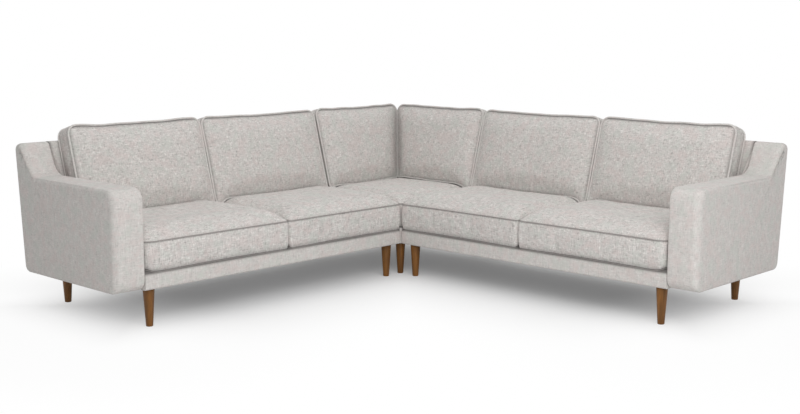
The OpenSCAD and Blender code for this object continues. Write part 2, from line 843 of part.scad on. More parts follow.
module wing_deck() {
    seat_deck(-arm_in, -end_out, front_in);
}

module wing_dust_cloth() {
    dust_cloth(-arm_in, -end_out, front_in, wing_legs);
}

module wing_back_frame() {
    back_frame(-arm_in + glue, -end_out - glue, 5);
}

left() arm_cover();  // left_arm_cover
left() arm_frame();  // left_arm_frame
left() arm_bolts();  // left_arm_bolts
left() back_cover();  // left_back_cover
left() wing_back_frame();  // left_back_frame
left() rail_cover();  // left_rail_cover
left() end_cover();  // left_end_cover
left() front_rail();  // left_front_rail
left() rear_rail();  // left_rear_rail
left() cross_rails();  // left_cross_rails
left() wing_plates();  // left_leg_plates
left() wing_bolts();  // left_leg_bolts
left() wing_legs();  // left_legs
left() wing_webbing();  // left_webbing
left() wing_deck();  // left_seat_deck
left() wing_dust_cloth();  // left_dust_cloth
left() hooks();  // left_hooks
right() arm_cover();  // right_arm_cover
right() arm_frame();  // right_arm_frame
right() arm_bolts();  // right_arm_bolts
right() back_cover();  // right_back_cover
right() wing_back_frame();  // right_back_frame
right() rail_cover();  // right_rail_cover
right() end_cover();  // right_end_cover
right() front_rail();  // right_front_rail
right() rear_rail();  // right_rear_rail
right() cross_rails();  // right_cross_rails
right() wing_plates();  // right_leg_plates
right() wing_bolts();  // right_leg_bolts
right() wing_legs();  // right_legs
right() wing_webbing();  // right_webbing
right() wing_deck();  // right_seat_deck
right() wing_dust_cloth();  // right_dust_cloth
right() hooks();  // right_hooks
left() corner_back_cover();  // corner_rear_back_cover
right() corner_back_cover();  // corner_side_back_cover
left() back_frame(end_out + glue, wood_rear, 3);  // corner_rear_back_frame
right() back_frame(end_out + glue, back_front(deck_z), 2);  // corner_side_back_frame
left() base_covers();  // corner_base_covers
left() corner_rails();  // corner_seat_rails
left() leg_plates(corner_x_spans, corner_x_spans, corner_legs);  // corner_leg_plates
left() at_each(corner_legs) leg_bolt();  // corner_leg_bolts
left() at_each(corner_legs) leg();
left() webbing(end_in, rear_in, end_in, rear_in);  // corner_webbing
left() seat_deck(end_out, back_front(deck_z), end_out);  // corner_seat_deck
left() dust_cloth(end_out, wood_rear, end_out, corner_legs);  // corner_dust_cloth
left() hook_sockets();  // corner_hook_sockets
left() outer_seat();  // left_outer_seat_cushion
left() inner_seat();  // left_inner_seat_cushion
left() corner_seat();  // corner_seat_cushion
right() inner_seat();  // right_inner_seat_cushion
right() outer_seat();  // right_outer_seat_cushion
left() outer_back();  // left_outer_back_cushion
left() inner_back();  // left_inner_back_cushion
left() corner_back();  // corner_left_back_cushion
right() corner_back();  // corner_right_back_cushion
right() inner_back();  // right_inner_back_cushion
right() outer_back();  // right_outer_back_cushion
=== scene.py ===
"""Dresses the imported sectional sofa: its upholstery, cushions, piping, wood and a plain studio stage."""

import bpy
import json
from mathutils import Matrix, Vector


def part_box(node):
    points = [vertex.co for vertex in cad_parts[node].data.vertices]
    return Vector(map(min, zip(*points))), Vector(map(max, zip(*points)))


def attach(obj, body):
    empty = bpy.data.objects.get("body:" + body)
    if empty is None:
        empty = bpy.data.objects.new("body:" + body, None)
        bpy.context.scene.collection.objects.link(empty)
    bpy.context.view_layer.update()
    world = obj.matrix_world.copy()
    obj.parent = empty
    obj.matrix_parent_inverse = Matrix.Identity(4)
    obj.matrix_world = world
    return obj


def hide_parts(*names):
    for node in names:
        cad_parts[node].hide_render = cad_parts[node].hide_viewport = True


bl_info = {
    "name": "Sectional Sofa Dressing",
    "version": (1, 0, 0),
    "blender": (4, 5, 0),
    "location": "3D View > Sidebar > Sofa",
    "description": "Upholsters the sofa's sections and cushions and sets a plain studio round them",
    "category": "Object",
}

import json
import math

import bpy
import numpy as np
from mathutils import Matrix

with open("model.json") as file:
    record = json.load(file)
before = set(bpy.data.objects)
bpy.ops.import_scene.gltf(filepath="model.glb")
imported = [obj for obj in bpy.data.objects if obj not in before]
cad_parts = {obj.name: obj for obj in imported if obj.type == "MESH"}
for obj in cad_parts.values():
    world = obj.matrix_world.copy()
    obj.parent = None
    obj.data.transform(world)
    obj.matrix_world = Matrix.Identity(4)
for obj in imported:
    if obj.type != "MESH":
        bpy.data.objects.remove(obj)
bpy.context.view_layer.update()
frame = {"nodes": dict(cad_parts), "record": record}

ARM_LOW, ARM_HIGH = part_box("left_arm_cover")
RAIL_LOW, RAIL_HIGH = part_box("left_rail_cover")
BACK_LOW, BACK_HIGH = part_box("left_back_cover")
SEAT_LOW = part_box("left_inner_seat_cushion")[0]
SIDES = ("left", "right")

# Distances that several pieces share, in metres
LEG_CAD_RADIUS = 0.0225  # from the side of the legs' box to the middle of a leg
SECTION_GAP = 0.0003  # from a section's end to the plane where two sections meet
COVERED_EDGE = 0.0006  # radius of a cover's edge where an arm hides it
END_EDGE = 0.010  # radius of a cover's edge at the end of a section
REAR_ROOM = 0.0106  # from the inside of a back to a back cushion's rear seam, square to the back
PUFF_REACH = 0.005  # distance from a seam at which a cushion's puff is at 1 - 1/e
CELL = 0.015  # side of the cells of a cushion's grid

# Values that several shapes share, without a unit
END_RINGS = np.array([0.97, 0.93, 0.86, 0.76, 0.62, 0.44, 0.24])  # scales of the rings on a slab's end
ARC_STEPS = 40  # even, because a cushion's corner arcs are cut at their middles
WHITE = (1.0, 1.0, 1.0, 1.0)


# Sizes and colours


def setting(name, description, default, low=-10, high=100, unit="LENGTH", **more):
    """A number that a user may change, in metres unless it says another unit."""
    return bpy.props.FloatProperty(name=name, description=description, default=default, min=low, max=high,
                                   unit=unit, **more)


def share_setting(name, description, default):
    """A share from 0 to 1 that a user may change."""
    return setting(name, description, default, 0, 1, "NONE", subtype="FACTOR")


def colour_setting(name, description, default):
    """A colour that a user may change."""
    return bpy.props.FloatVectorProperty(name=name, description=description, default=default, size=3, min=0,
                                         max=1, subtype="COLOR")


class SofaSizes(bpy.types.PropertyGroup):
    """Sizes of the upholstery, measured from the inner corner of the L where the two seat fronts meet."""

    wing_length: setting("Wing length", "From the inner corner to the outside of an arm", 1.712, 1.6, 1.9)
    depth: setting("Depth", "From the rail front to the rear edge of a back at its top", 0.790, 0.77, 0.84)
    arm_height: setting("Arm height", "Height of the arm in front of its rear wing", 0.611, 0.56, 0.64)
    wing_top: setting("Rear wing thickness", "Thickness of the arm's rear wing at its top", 0.050, 0.05, 0.06)
    wing_lean: setting("Rear wing lean", "Lean of the rear wing's front edge from upright",
                       math.radians(24.6), 0.2, 0.6, "ROTATION")
    back_lean: setting("Back lean", "Lean of the inside of the backs from upright",
                       math.radians(15.4), 0.1, 0.4, "ROTATION")
    back_top: setting("Back thickness", "Thickness of a back at its top", 0.047, 0.046, 0.06)
    rear_rake: setting("Rear rake", "How far the rear of a back leans out, from its underside to its top",
                       0.045, 0.02, 0.06)
    seat_split: setting("Seat split", "From the inner corner to the seam between the two seats of a wing",
                        0.762, 0.72, 0.9)
    seat_boxing: setting("Seat boxing", "Height of a seat cushion from its lower seam to its upper seam",
                         0.125, 0.1, 0.15)
    seat_crown: setting("Seat crown", "Height of a seat cushion's crown above its upper seam",
                        0.054, 0.015, 0.065)
    corner_crown: setting("Corner seat crown", "Height of the corner seat's crown above its upper seam",
                          0.043, 0.015, 0.065)
    back_face: setting("Back cushion height", "Height of a back cushion's face along its lean",
                       0.441, 0.4, 0.5)
    foot_arch: setting("Foot arch", "How far the lower side of a back cushion arches up over the seat",
                       0.018, 0.005, 0.025)
    back_boxing: setting("Back cushion boxing", "Thickness of a back cushion at its seams", 0.085, 0.07, 0.11)
    front_crown: setting("Front crown", "Height of the crown on a back cushion's front face",
                         0.036, 0.015, 0.05)
    piping_room: setting("Piping room", "Room that each seat cushion leaves for its piping",
                         0.0054, 0.003, 0.008)
    piping_radius: setting("Piping radius", "Radius of the piping in the seams of the back cushions",
                           0.0049, 0.002, 0.006)
    proud: setting("Piping stand", "How far the piping stands out of the seams of the back cushions",
                   0.0018, 0, 0.004)
    seat_piping: setting("Seat piping radius", "Radius of the piping in the seams of the seat cushions",
                         0.0018, 0.001, 0.006)
    crease: setting("Crease", "How far the cover stands over its seams a few millimetres away from them",
                    0.0050, 0, 0.008)
    arm_clear: setting("Arm clearance", "From the inside of an arm to the outer back cushion",
                       0.049, 0.01, 0.06)
    hem: setting("Hem", "How far the covers reach down past the underside of the frame", 0.002, 0, 0.01)
    leg_top: setting("Leg radius at the top", "Radius of a leg under the frame", 0.0262, 0.018, 0.028)
    leg_foot: setting("Leg radius at the foot", "Radius of a leg at the floor", 0.0155, 0.01, 0.02)
    seed: bpy.props.IntProperty(
        name="Seed", description="Starts the small irregularities of the cushions", default=7, min=0)


class SofaFinish(bpy.types.PropertyGroup):
    """Colours and the scale of the surface detail."""

    yarn: colour_setting("Yarn", "Main colour of the heathered weave", (0.600, 0.572, 0.548))
    yarn_pale: colour_setting("Pale yarn", "Colour of the palest threads", (0.820, 0.795, 0.765))
    yarn_dark: colour_setting("Dark yarn", "Colour of the darkest threads", (0.330, 0.305, 0.290))
    yarn_rose: colour_setting("Rose yarn", "Colour of the warm flecks", (0.640, 0.540, 0.520))
    yarn_moss: colour_setting("Moss yarn", "Colour of the cool flecks", (0.545, 0.585, 0.535))
    walnut: colour_setting("Walnut", "Main colour of the legs", (0.195, 0.080, 0.015))
    thread: setting("Thread width", "Size of the slubs in the weave", 0.0045, 0.002, 0.01)
    # How dark the painted shade is in creases, crevices and covered places
    painted_crease_shade: share_setting("Crease tone", "How dark the creases beside the piping are", 0.85)
    nap: setting("Nap", "Depth of the weave's relief", 0.0011, 0, 0.003)


class SofaStage(bpy.types.PropertyGroup):
    """The camera, the lamps and the floor."""

    lens: setting("Lens", "Focal length on a 36 mm sensor", 52.97, 20, 120, "CAMERA")
    camera: bpy.props.FloatVectorProperty(
        name="Camera", description="Place of the camera", default=(-3.8967, -3.6835, 1.2675), size=3,
        subtype="TRANSLATION")
    pitch: setting("Pitch", "How far the camera looks down", 0.1493, unit="ROTATION")
    heading: setting("Heading", "Where the camera looks, from +X towards +Y", math.pi / 4 - 0.0243,
                     unit="ROTATION")
    roll: setting("Roll", "Turn of the camera about its own view", 0.002, unit="ROTATION")
    front: setting("Front light", "Power of the soft lamp above the camera", 54.0, 0, 500, "POWER")
    key: setting("Key light", "Power of the soft lamp in front at the right", 46.0, 0, 500, "POWER")
    top: setting("Top light", "Power of the wide lamp above", 20.0, 0, 500, "POWER")
    rear: setting("Rear light", "Power of the lamp above and behind", 28.0, 0, 500, "POWER")
    sky: setting("Sky", "Strength of the even light from all round", 0.415, 0, 10, "NONE")
    # Lower floor glow under the seats and arms gives a darker painted shadow there
    floor_glow: share_setting(
        "Floor glow", "Share of plain white in the floor under the seats, as the camera sees it", 0.155)
    floor_glow_ends: share_setting(
        "Floor glow at the arms", "Share of plain white in the floor under the arms", 0.42)


def sizes():
    """The sizes that the scene holds."""
    return bpy.context.scene.sofa_sizes


def finish():
    """The colours and detail scales that the scene holds."""
    return bpy.context.scene.sofa_finish


def corner_offset():
    """Distance from the inner corner of the L to the middle of the footprint, along X and along Y."""
    return ARM_LOW.x + sizes().wing_length


def arm_inside():
    """Distance from the inner corner of the L to the inside of an arm."""
    return sizes().wing_length - (ARM_HIGH.x - ARM_LOW.x)


def back_front(z):
    """Distance from the rail front to the inside of a back at height z."""
    s = sizes()
    return s.depth - s.back_top - (BACK_HIGH.z - z) * math.tan(s.back_lean)


def cushion_front(z):
    """Distance from the rail front to the plane of the back cushions' front seams at height z."""
    s = sizes()
    return back_front(z) - (s.back_boxing + REAR_ROOM) / math.cos(s.back_lean)


# Meshes worked out as arrays


def filled_mesh(name, points, quads, triangles=()):
    """A mesh from an array of points and index arrays of its faces."""
    quads = np.asarray(quads, np.int32).reshape(-1, 4)
    triangles = np.asarray(triangles, np.int32).reshape(-1, 3)
    corners = np.concatenate([quads.ravel(), triangles.ravel()])
    starts = np.concatenate([4 * np.arange(len(quads)), 4 * len(quads) + 3 * np.arange(len(triangles))])
    mesh = bpy.data.meshes.new(name)
    mesh.vertices.add(len(points))
    mesh.vertices.foreach_set("co", np.asarray(points, np.float32).ravel())
    mesh.loops.add(len(corners))
    mesh.loops.foreach_set("vertex_index", corners.astype(np.int32))
    mesh.polygons.add(len(starts))
    mesh.polygons.foreach_set("loop_start", starts.astype(np.int32))
    mesh.update(calc_edges=True)
    mesh.validate()
    return mesh


def make_piece(name, points, quads, triangles, body, material, replaces=(), slot=None, smooth=True,
               seam=None):
    """Makes a piece and lets it ride on a body. Seam holds, for each point, the painted shade that
    darkens it, mostly near sewn seams and in crevices.
    """
    mesh = filled_mesh(name, points, quads, triangles)
    mesh.shade_smooth() if smooth else mesh.shade_flat()
    # The seam attribute carries painted shade to the weave
    near = mesh.attributes.new("seam", "FLOAT", "POINT")
    near.data.foreach_set("value", np.asarray(np.zeros(len(points)) if seam is None else seam, np.float32))
    piece = bpy.data.objects.new(name, mesh)
    bpy.context.scene.collection.objects.link(piece)
    piece.data.materials.append(material)
    if body:
        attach(piece, body)
    if replaces:
        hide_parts(*replaces)
    return piece


def placed(points, quads, triangles, side):
    """Moves section coordinates to the sofa's frame. The right side is the left one mirrored across
    the diagonal, which swaps X and Y, so its faces are turned round to point outwards again."""
    points = np.asarray(points, float) + np.array([corner_offset(), corner_offset(), 0.0])
    quads, triangles = np.asarray(quads, int).reshape(-1, 4), np.asarray(triangles, int).reshape(-1, 3)
    if side == "right":
        points = points[:, [1, 0, 2]]
        quads, triangles = quads[:, ::-1], triangles[:, ::-1]
    return points, quads, triangles


def upholster(mesh, side, node, seam=None):
    """Makes the upholstery that replaces a cover, from a mesh in section coordinates. It rides on the
    section that the node's name begins with."""
    body = node.split("_")[0] + "_section"
    piece = make_piece(node.replace("cover", "upholstery"), *placed(*mesh, side), body,
                       bpy.data.materials["sofa_weave"], replaces=(node,), slot="frame_fabric", seam=seam)


def unit(vectors):
    """Vectors made 1 long."""
    return vectors / np.linalg.norm(vectors, axis=-1, keepdims=True)


def ramp(x, start, width):
    """0 up to the start, 1 from a width beyond it, and an even rise between."""
    return np.clip((x - start) / width, 0, 1)


def bell(x, width):
    """Gaussian that is 1 at 0 and 1/e a width away from it."""
    return np.exp(-(x / width) ** 2)


def loop_bands(rows, columns):
    """Quads between closed rows of points: row r, column c joins column c + 1 and row r + 1."""
    r, c = np.meshgrid(np.arange(rows - 1), np.arange(columns), indexing="ij")
    a, b = r * columns + c, r * columns + (c + 1) % columns
    return np.stack([a, b, b + columns, a + columns], -1).reshape(-1, 4)


def capped(grid, low_pole, high_pole):
    """Points, quads and fans of a tube of closed rows, closed at each end by a fan round a pole."""
    rows, columns = grid.shape[:2]
    c, count = np.arange(columns), rows * columns
    nxt, last = (c + 1) % columns, count - columns
    fans = np.concatenate([np.stack([np.full(columns, count), nxt, c], -1),
                           np.stack([np.full(columns, count + 1), last + c, last + nxt], -1)])
    return np.concatenate([grid.reshape(-1, 3), [low_pole, high_pole]]), loop_bands(rows, columns), fans


def corner_arcs(corners, radii, steps):
    """Rounds each corner of an outline by a circular arc that touches both of its sides. Returns each
    arc's points and outward normals."""
    corners, arcs = np.asarray(corners, float), []
    for before, here, after, radius in zip(np.roll(corners, 1, 0), corners, np.roll(corners, -1, 0), radii):
        along, onward = unit(here - before), unit(after - here)
        bend = np.sign(along[0] * onward[1] - along[1] * onward[0])
        angle = math.acos(np.clip(along @ onward, -1, 1))
        out = np.array([along[1], -along[0]])
        centre = here - along * radius * math.tan(angle / 2) - bend * radius * out
        turn = bend * angle * np.linspace(0, 1, steps + 1)
        normal = np.stack([out[0] * np.cos(turn) - out[1] * np.sin(turn),
                           out[0] * np.sin(turn) + out[1] * np.cos(turn)], -1)
        arcs.append((centre + bend * radius * normal, normal))
    return arcs


def rounded_line(corners, radii, arc=14, step=0.02):
    """Outline through corners with round ones, whose straight stretches are divided into steps. Returns
    points and outward normals."""
    arcs, points, normals = corner_arcs(corners, radii, arc), [], []
    for (bend, facing), (following, _) in zip(arcs, arcs[1:] + arcs[:1]):
        start, end = bend[-1], following[0]
        count = max(1, int(round(np.linalg.norm(end - start) / step)))
        t = np.linspace(0, 1, count + 1)[1:-1, None]
        points += [bend, start + t * (end - start)]
        normals += [facing, np.repeat(facing[-1:], len(t), 0)]
    return np.concatenate(points), np.concatenate(normals)


def along_line(line, at):
    """Points of an open line at shares of its length."""
    length = np.concatenate([[0], np.cumsum(np.linalg.norm(np.diff(line, axis=0), axis=1))])
    return np.stack([np.interp(length[-1] * at, length, column) for column in line.T], -1)


def soft_edge(radius, steps=8):
    """Quarter circle of an edge: distance from the end and inset, from the end face to the full outline."""
    a = np.linspace(0, math.pi / 2, steps + 1)
    return np.stack([radius * (1 - np.cos(a)), radius * (1 - np.sin(a))], -1)


def slab(outline, normals, x0, x1, edge0, edge1, seam=None, swell=0.0, heart=None, spacing=0.03):
    """Upholstered slab: a YZ outline carried along X. Near each end the outline is drawn in along its
    normals by a quarter circle, whose radius at the low end may differ from point to point of the
    outline. A sewn seam, given as its place on that quarter circle from 0 to 1 and its strength at each
    point of the outline, is a narrow Gaussian groove. Each end face runs in rings to its heart and
    swells by a Gaussian of the distance from the heart. Returns points, faces and the seam's share,
    which the weave darkens as painted shade in the groove."""
    seam_width, seam_depth, swell_reach = 0.14, 0.0012, np.array([0.36, 0.17])
    edge0 = np.broadcast_to(edge0, len(outline)).astype(float)
    low, high = soft_edge(1.0, 12), soft_edge(edge1)
    middle = np.linspace(x0 + edge0.max(), x1 - edge1, max(2, int((x1 - x0) / spacing)) + 1)[1:-1, None]
    level = np.ones(len(outline))
    x = np.concatenate([x0 + low[:, :1] * edge0, middle * level, (x1 - high[::-1, :1]) * level])
    inset = np.concatenate([low[:, 1:] * edge0, 0 * middle * level, high[::-1, 1:] * level])
    near = np.zeros(x.shape)
    if seam:
        arc = np.linspace(0, 1, len(low))[:, None]
        near[:len(low)] = bell(arc - seam[0], seam_width) * seam[1]
    inset = inset + seam_depth * near
    body = np.concatenate([x[..., None], outline[None] - inset[..., None] * normals[None]], -1)
    heart = outline.mean(0) if heart is None else np.asarray(heart, float)

    def end_face(ring, sign):
        """Rings from the rim of an end towards its heart."""
        flat = heart + (ring[None, :, 1:] - heart) * END_RINGS[:, None, None]
        away = np.linalg.norm((flat - heart) / swell_reach, axis=-1)
        return np.concatenate([(ring[0, 0] + sign * swell * np.exp(-away ** 2))[..., None], flat], -1)

    grid = np.concatenate([end_face(body[0], -1)[::-1], body, end_face(body[-1], 1)])
    near = np.pad(near, ((len(END_RINGS),) * 2, (0, 0)))
    return *capped(grid, [x0 - swell, *heart], [x1 + swell, *heart]), np.append(near, [0, 0])


# Cushions


def seam_sides(corners, radii, draws, counts):
    """Seam of a cushion as four sides of points. The corner arcs are cut at their middles, each side is
    pulled in by its draw along a parabola between its arcs, and it is sampled at the given shares of
    its length."""
    arcs, half, sides = corner_arcs(corners, radii, ARC_STEPS), ARC_STEPS // 2, []
    t = np.linspace(0, 1, 101)[:, None]
    for i, ((arc, normal), (following, _)) in enumerate(zip(arcs, arcs[1:] + arcs[:1])):
        first, second = arc[half:], following[:half + 1]
        run = first[-1] + t * (second[0] - first[-1]) - draws[i] * 4 * t * (1 - t) * normal[-1]
        sides.append(along_line(np.concatenate([first[:-1], run, second[1:]]), counts[i % 2]))
    return sides


def shares(length, pitch):
    """Shares of a side at which it has points: close together near its ends, and even between them."""
    near = np.array([0, 0.0025, 0.005, 0.008, 0.013, 0.021]) / length
    middle = np.linspace(near[-1], 1 - near[-1], max(4, int(length / pitch)))
    return np.concatenate([near[:-1], middle, (1 - near[:-1])[::-1]])


def coons(sides, u, v):
    """Grid between four sides: the two ruled blends of opposite sides less the blend of the corners."""
    bottom, right, top, left = sides[0], sides[1], sides[2][::-1], sides[3][::-1]
    u, v = u[:, None, None], v[None, :, None]
    ruled = (1 - v) * bottom[:, None] + v * top[:, None] + (1 - u) * left[None] + u * right[None]
    ends = ((1 - u) * (1 - v) * bottom[0] + u * (1 - v) * bottom[-1]
            + (1 - u) * v * top[0] + u * v * top[-1])
    return ruled - ends


def ripple(u, v, rng, waves=5, low=1.0, high=3.2):
    """Smooth irregularity of a face: a sum of a few plane waves with seeded directions and phases."""
    turn, pace, phase = (rng.uniform(a, b, waves)[:, None, None]
                         for a, b in ((0, math.pi), (low, high), (0, 2 * math.pi)))
    return np.sin(2 * math.pi * pace * (np.cos(turn) * u + np.sin(turn) * v) + phase).sum(0) / waves


def boxed_cushion(lower, upper, thickness, crowns, counts, span, rng, powers, tone, reach):
    """Boxed cushion: two crowned faces and a band between their seams. A face rises over its seam by its
    crown times the product of 1 minus a power of each grid coordinate, plus a puff that is full a few
    millimetres from the seam and a seeded ripple, and the band swells outwards along a half sine, with
    the same puff. Tone weights the painted shade of the creases on a face's two sides, its low and its
    high edge, and the band, and each crease is as wide as its reach. Returns points, quads, that painted
    shade, the distance from a seam, and the loops."""
    crease, rough, swell, wander_by = sizes().crease, 0.0015, 0.003, 0.0005
    band_pitch, band_puff, painted_shade_blend = 0.016, 0.7, 0.04
    u, v = np.meshgrid(2 * counts[0] - 1, 2 * counts[1] - 1, indexing="ij")
    full = (1 - np.abs(u) ** powers[0]) * (1 - np.abs(v) ** powers[1])
    from_sides, from_edges = (1 - np.abs(u)) * span[0], (1 - np.abs(v)) * span[1]
    inside = np.minimum(from_sides, from_edges) / 2
    puff = crease * (1 - np.exp(-inside / PUFF_REACH))

    def face(sides, base, crown, sign):
        """A crowned face over its seam. A face without a crown is flat."""
        rise = crown * full + (puff + rough * full * ripple(u, v, rng) if crown > 0 else 0)
        return np.concatenate([coons(sides, *counts), (base + sign * rise)[..., None]], -1).reshape(-1, 3)

    under, over = face(lower, 0.0, crowns[0], -1), face(upper, thickness, crowns[1], 1)
    index, count = np.arange(u.size).reshape(u.shape), u.size
    loop = np.concatenate([index[:-1, 0], index[-1, :-1], index[:0:-1, -1], index[0, :0:-1]])
    cell = np.stack([index[:-1, :-1], index[1:, :-1], index[1:, 1:], index[:-1, 1:]], -1).reshape(-1, 4)
    low, top = under[loop], over[loop]
    w = shares(thickness, band_pitch)[1:-1, None, None]
    edge = np.minimum(w, 1 - w) * thickness
    around = np.linspace(0, 2 * math.pi, len(loop), endpoint=False)
    wander = sum(np.sin(k * around + rng.uniform(0, 6.28)) for k in (3, 5, 8, 13)) * wander_by
    out = (np.sin(math.pi * w) * (swell + wander[None, :, None])
           + band_puff * crease * (1 - np.exp(-edge / PUFF_REACH)))
    band = (low + w * (top - low) + out * outward_of(low)).reshape(-1, 3)
    between = 2 * count + np.arange(len(band)).reshape(-1, len(loop))
    ids = np.concatenate([loop[None], between, loop[None] + count])
    a, b = ids[:-1], ids[1:]
    sides = np.stack([a, np.roll(a, -1, 1), np.roll(b, -1, 1), b], -1).reshape(-1, 4)
    near = np.concatenate([inside.ravel(), inside.ravel(), np.repeat(edge.ravel(), len(loop))])
    # Painted shade in the creases beside the seams, weighted by side and by edge
    beside = np.clip(0.5 + (from_edges - from_sides) / painted_shade_blend, 0, 1)
    dark = (np.where(u < 0, tone[0], tone[1]) * beside
            + (1 - beside) * np.where(v < 0, tone[2], tone[3])).ravel()
    painted_shade_weight = np.concatenate([dark, dark, np.full(len(band), tone[4])])
    return (np.concatenate([under, over, band]), np.concatenate([cell[:, ::-1], cell + count, sides]),
            painted_shade_weight * np.exp(-(near / reach) ** 4), near, loop, loop + count)


def inflated(points, faces, pinned, cap):
    """The cushion after a cloth simulation: air presses its cover out while the seams are held, and no
    point moves further than the cap."""
    frames = 14
    mesh = filled_mesh("cover", points, faces)
    cover = bpy.data.objects.new("cover", mesh)
    bpy.context.scene.collection.objects.link(cover)
    group = cover.vertex_groups.new(name="seams")
    group.add([int(i) for i in pinned], 1.0, "REPLACE")
    cloth = cover.modifiers.new("cloth", "CLOTH")
    for key, value in dict(quality=4, mass=0.4, tension_stiffness=25, compression_stiffness=25,
                           shear_stiffness=12, bending_stiffness=1.5, use_pressure=True,
                           uniform_pressure_force=4.0, shrink_min=-0.012, vertex_group_mass="seams").items():
        setattr(cloth.settings, key, value)
    cloth.settings.effector_weights.gravity = 0.0
    cloth.collision_settings.use_collision = False
    cloth.point_cache.frame_start, cloth.point_cache.frame_end = 1, frames
    scene = bpy.context.scene
    for number in range(1, frames + 1):
        scene.frame_set(number)
    result = cover.evaluated_get(bpy.context.evaluated_depsgraph_get()).to_mesh()
    after = np.empty(len(points) * 3)
    result.vertices.foreach_get("co", after)
    bpy.data.objects.remove(cover)
    bpy.data.meshes.remove(mesh)
    scene.frame_set(1)
    move = after.reshape(-1, 3) - points
    size = np.linalg.norm(move, axis=1, keepdims=True)
    return points + move * np.minimum(1, cap / np.maximum(size, 1e-9))


def piping(loops, radius, sides=10):
    """Tubes round closed level lines: at each point of a line a circle stands square to the line's
    direction, which is the difference of its neighbours."""
    points, quads, first = [], [], 0
    a = np.linspace(0, 2 * math.pi, sides, endpoint=False)[None, :, None]
    for line in loops:
        ahead = unit(np.roll(line, -1, 0) - np.roll(line, 1, 0))
        side = unit(np.cross(ahead, [0.0, 0.0, 1.0]))
        up = np.cross(side, ahead)
        tube = line[:, None] + radius * (np.cos(a) * side[:, None] + np.sin(a) * up[:, None])
        ids = first + np.arange(len(line) * sides).reshape(-1, sides)
        nxt = np.roll(ids, -1, 0)
        cells = np.stack([ids, nxt, np.roll(nxt, -1, 1), np.roll(ids, -1, 1)], -1)
        quads.append(cells.reshape(-1, 4)[:, ::-1])
        points.append(tube.reshape(-1, 3))
        first += len(line) * sides
    return np.concatenate(points), np.concatenate(quads)


def even_loop(line, count):
    """A closed line sampled evenly by its length."""
    return along_line(np.concatenate([line, line[:1]]), np.linspace(0, 1, count, endpoint=False))


def outward_of(line):
    """Unit vectors that point out of a closed anticlockwise line in its own XY plane."""
    ahead = np.roll(line, -1, 0) - np.roll(line, 1, 0)
    return unit(np.stack([ahead[:, 1], -ahead[:, 0], 0 * ahead[:, 0]], -1))


def leaning_axes(lean):
    """Matrix of a back cushion's own axes: width along X, face height up the lean, and thickness
    towards the sitter. A seat cushion's own axes are those of its section."""
    c, s = math.cos(lean), math.sin(lean)
    return np.array([[1, 0, 0], [0, s, -c], [0, c, s]])


def to_section(points, axes, place):
    """Turns cushion coordinates into section coordinates."""
    return points @ axes.T + place


def cushion_piece(node, kind, side, shape, axes, place, rng, settle, cap, cord):
    """Makes a cushion and its piping from its shape's lower and upper seams. The air fills it by 1 minus
    a Gaussian of the distance from a seam, and then settle shapes it to what it rests on or carries.
    Cord holds the piping's radius, its stand out of the seam and its material. The piping of a back
    cushion is darkened along a Gaussian of the distance from the diagonal of the corner, as painted shade."""
    (radius, stand, cord_material), filled_from, materials = cord, 0.025, bpy.data.materials
    points, faces, near, inside, low, top = boxed_cushion(rng=rng, **shape)
    full = inflated(points, faces, np.concatenate([low, top]), cap)
    points = points + (full - points) * (1 - bell(inside[:, None], filled_from))
    points, near = settle(points, near)
    loops = []
    for loop, sign in ((low, -1), (top, 1)):
        line = even_loop(points[loop], 240)
        loops.append(line + outward_of(line) * stand + np.array([0, 0, sign * stand]))
    tube, tube_faces = piping(loops, radius)
    tube, name = to_section(tube, axes, place), node.replace("cushion", kind)
    piece = make_piece(name, *placed(to_section(points, axes, place), faces, [], side), node,
                       materials["sofa_cushion_weave"], replaces=(node,), slot="cushion_fabric", seam=near)
    smooth = piece.modifiers.new("smooth", "SUBSURF")
    smooth.levels = smooth.render_levels = 1
    # Painted shade on the piping beside the corner's diagonal
    shade = 0.5 * bell(tube[:, 1] - tube[:, 0], 0.03) * node.endswith("back_cushion")
    make_piece(name + "_piping", *placed(tube, tube_faces, [], side), node, materials[cord_material],
               slot="cushion_fabric", seam=shade)
    return points


def seat_shape(cell, front, first_radius, crown):
    """Seams of a seat cushion over a cell along X, from its front to the foot of the back."""
    s, radius, draws = sizes(), 0.016, (0.004, 0.004, 0.003, 0.004)
    rear = back_front(RAIL_HIGH.z) - s.piping_room
    corners = [(cell[0], front), (cell[1], front), (cell[1], rear), (cell[0], rear)]
    span = (cell[1] - cell[0], rear - front)
    counts = tuple(shares(length, CELL) for length in span)
    sides = seam_sides(corners, (first_radius, radius, radius, radius), draws, counts)
    # Tone and reach set the painted shade in the seat's creases
    return dict(lower=sides, upper=sides, thickness=s.seat_boxing, crowns=(0.0, crown), counts=counts,
                span=span, powers=(12.0, 6.5), tone=(0.08, 0.08, 0.08, 0.08, 0.80), reach=0.0058)


def back_shape(x0, x1, mitre, draws, sag):
    """Seams of a back cushion in its own plane. A mitred one widens upwards and rearwards along the
    diagonal of the corner."""
    s = sizes()
    rise = mitre * s.back_face * math.sin(s.back_lean)
    splay = mitre * s.back_boxing * math.cos(s.back_lean)
    height = s.back_face - sag - 0.002
    radii = (0.032, 0.012, 0.042, 0.042)
    span = (x1 - x0 + rise, height)
    counts = tuple(shares(length, CELL) for length in span)

    def seam(low, high):
        """Sides of the seam whose far end is at low at its foot and at high at its top."""
        return seam_sides([(x0, 0.0), (low, 0.0), (high, height), (x0, height)], radii, draws, counts)

    # Tone and reach set the painted shade in the back cushion's creases
    return dict(lower=seam(x1 + splay, x1 + rise + splay), upper=seam(x1, x1 + rise), thickness=s.back_boxing,
                crowns=(0.006, s.front_crown), counts=counts, span=span, powers=(4.0, 4.0),
                tone=(0.35 if mitre else 0.48, 0.12, 0.06, 0.95, 0.30), reach=0.0124)


def cushion_rng(name):
    """A generator seeded by the scene's seed and the letters of the cushion's name."""
    return np.random.default_rng([sizes().seed, *name.encode()])


# Shader maths


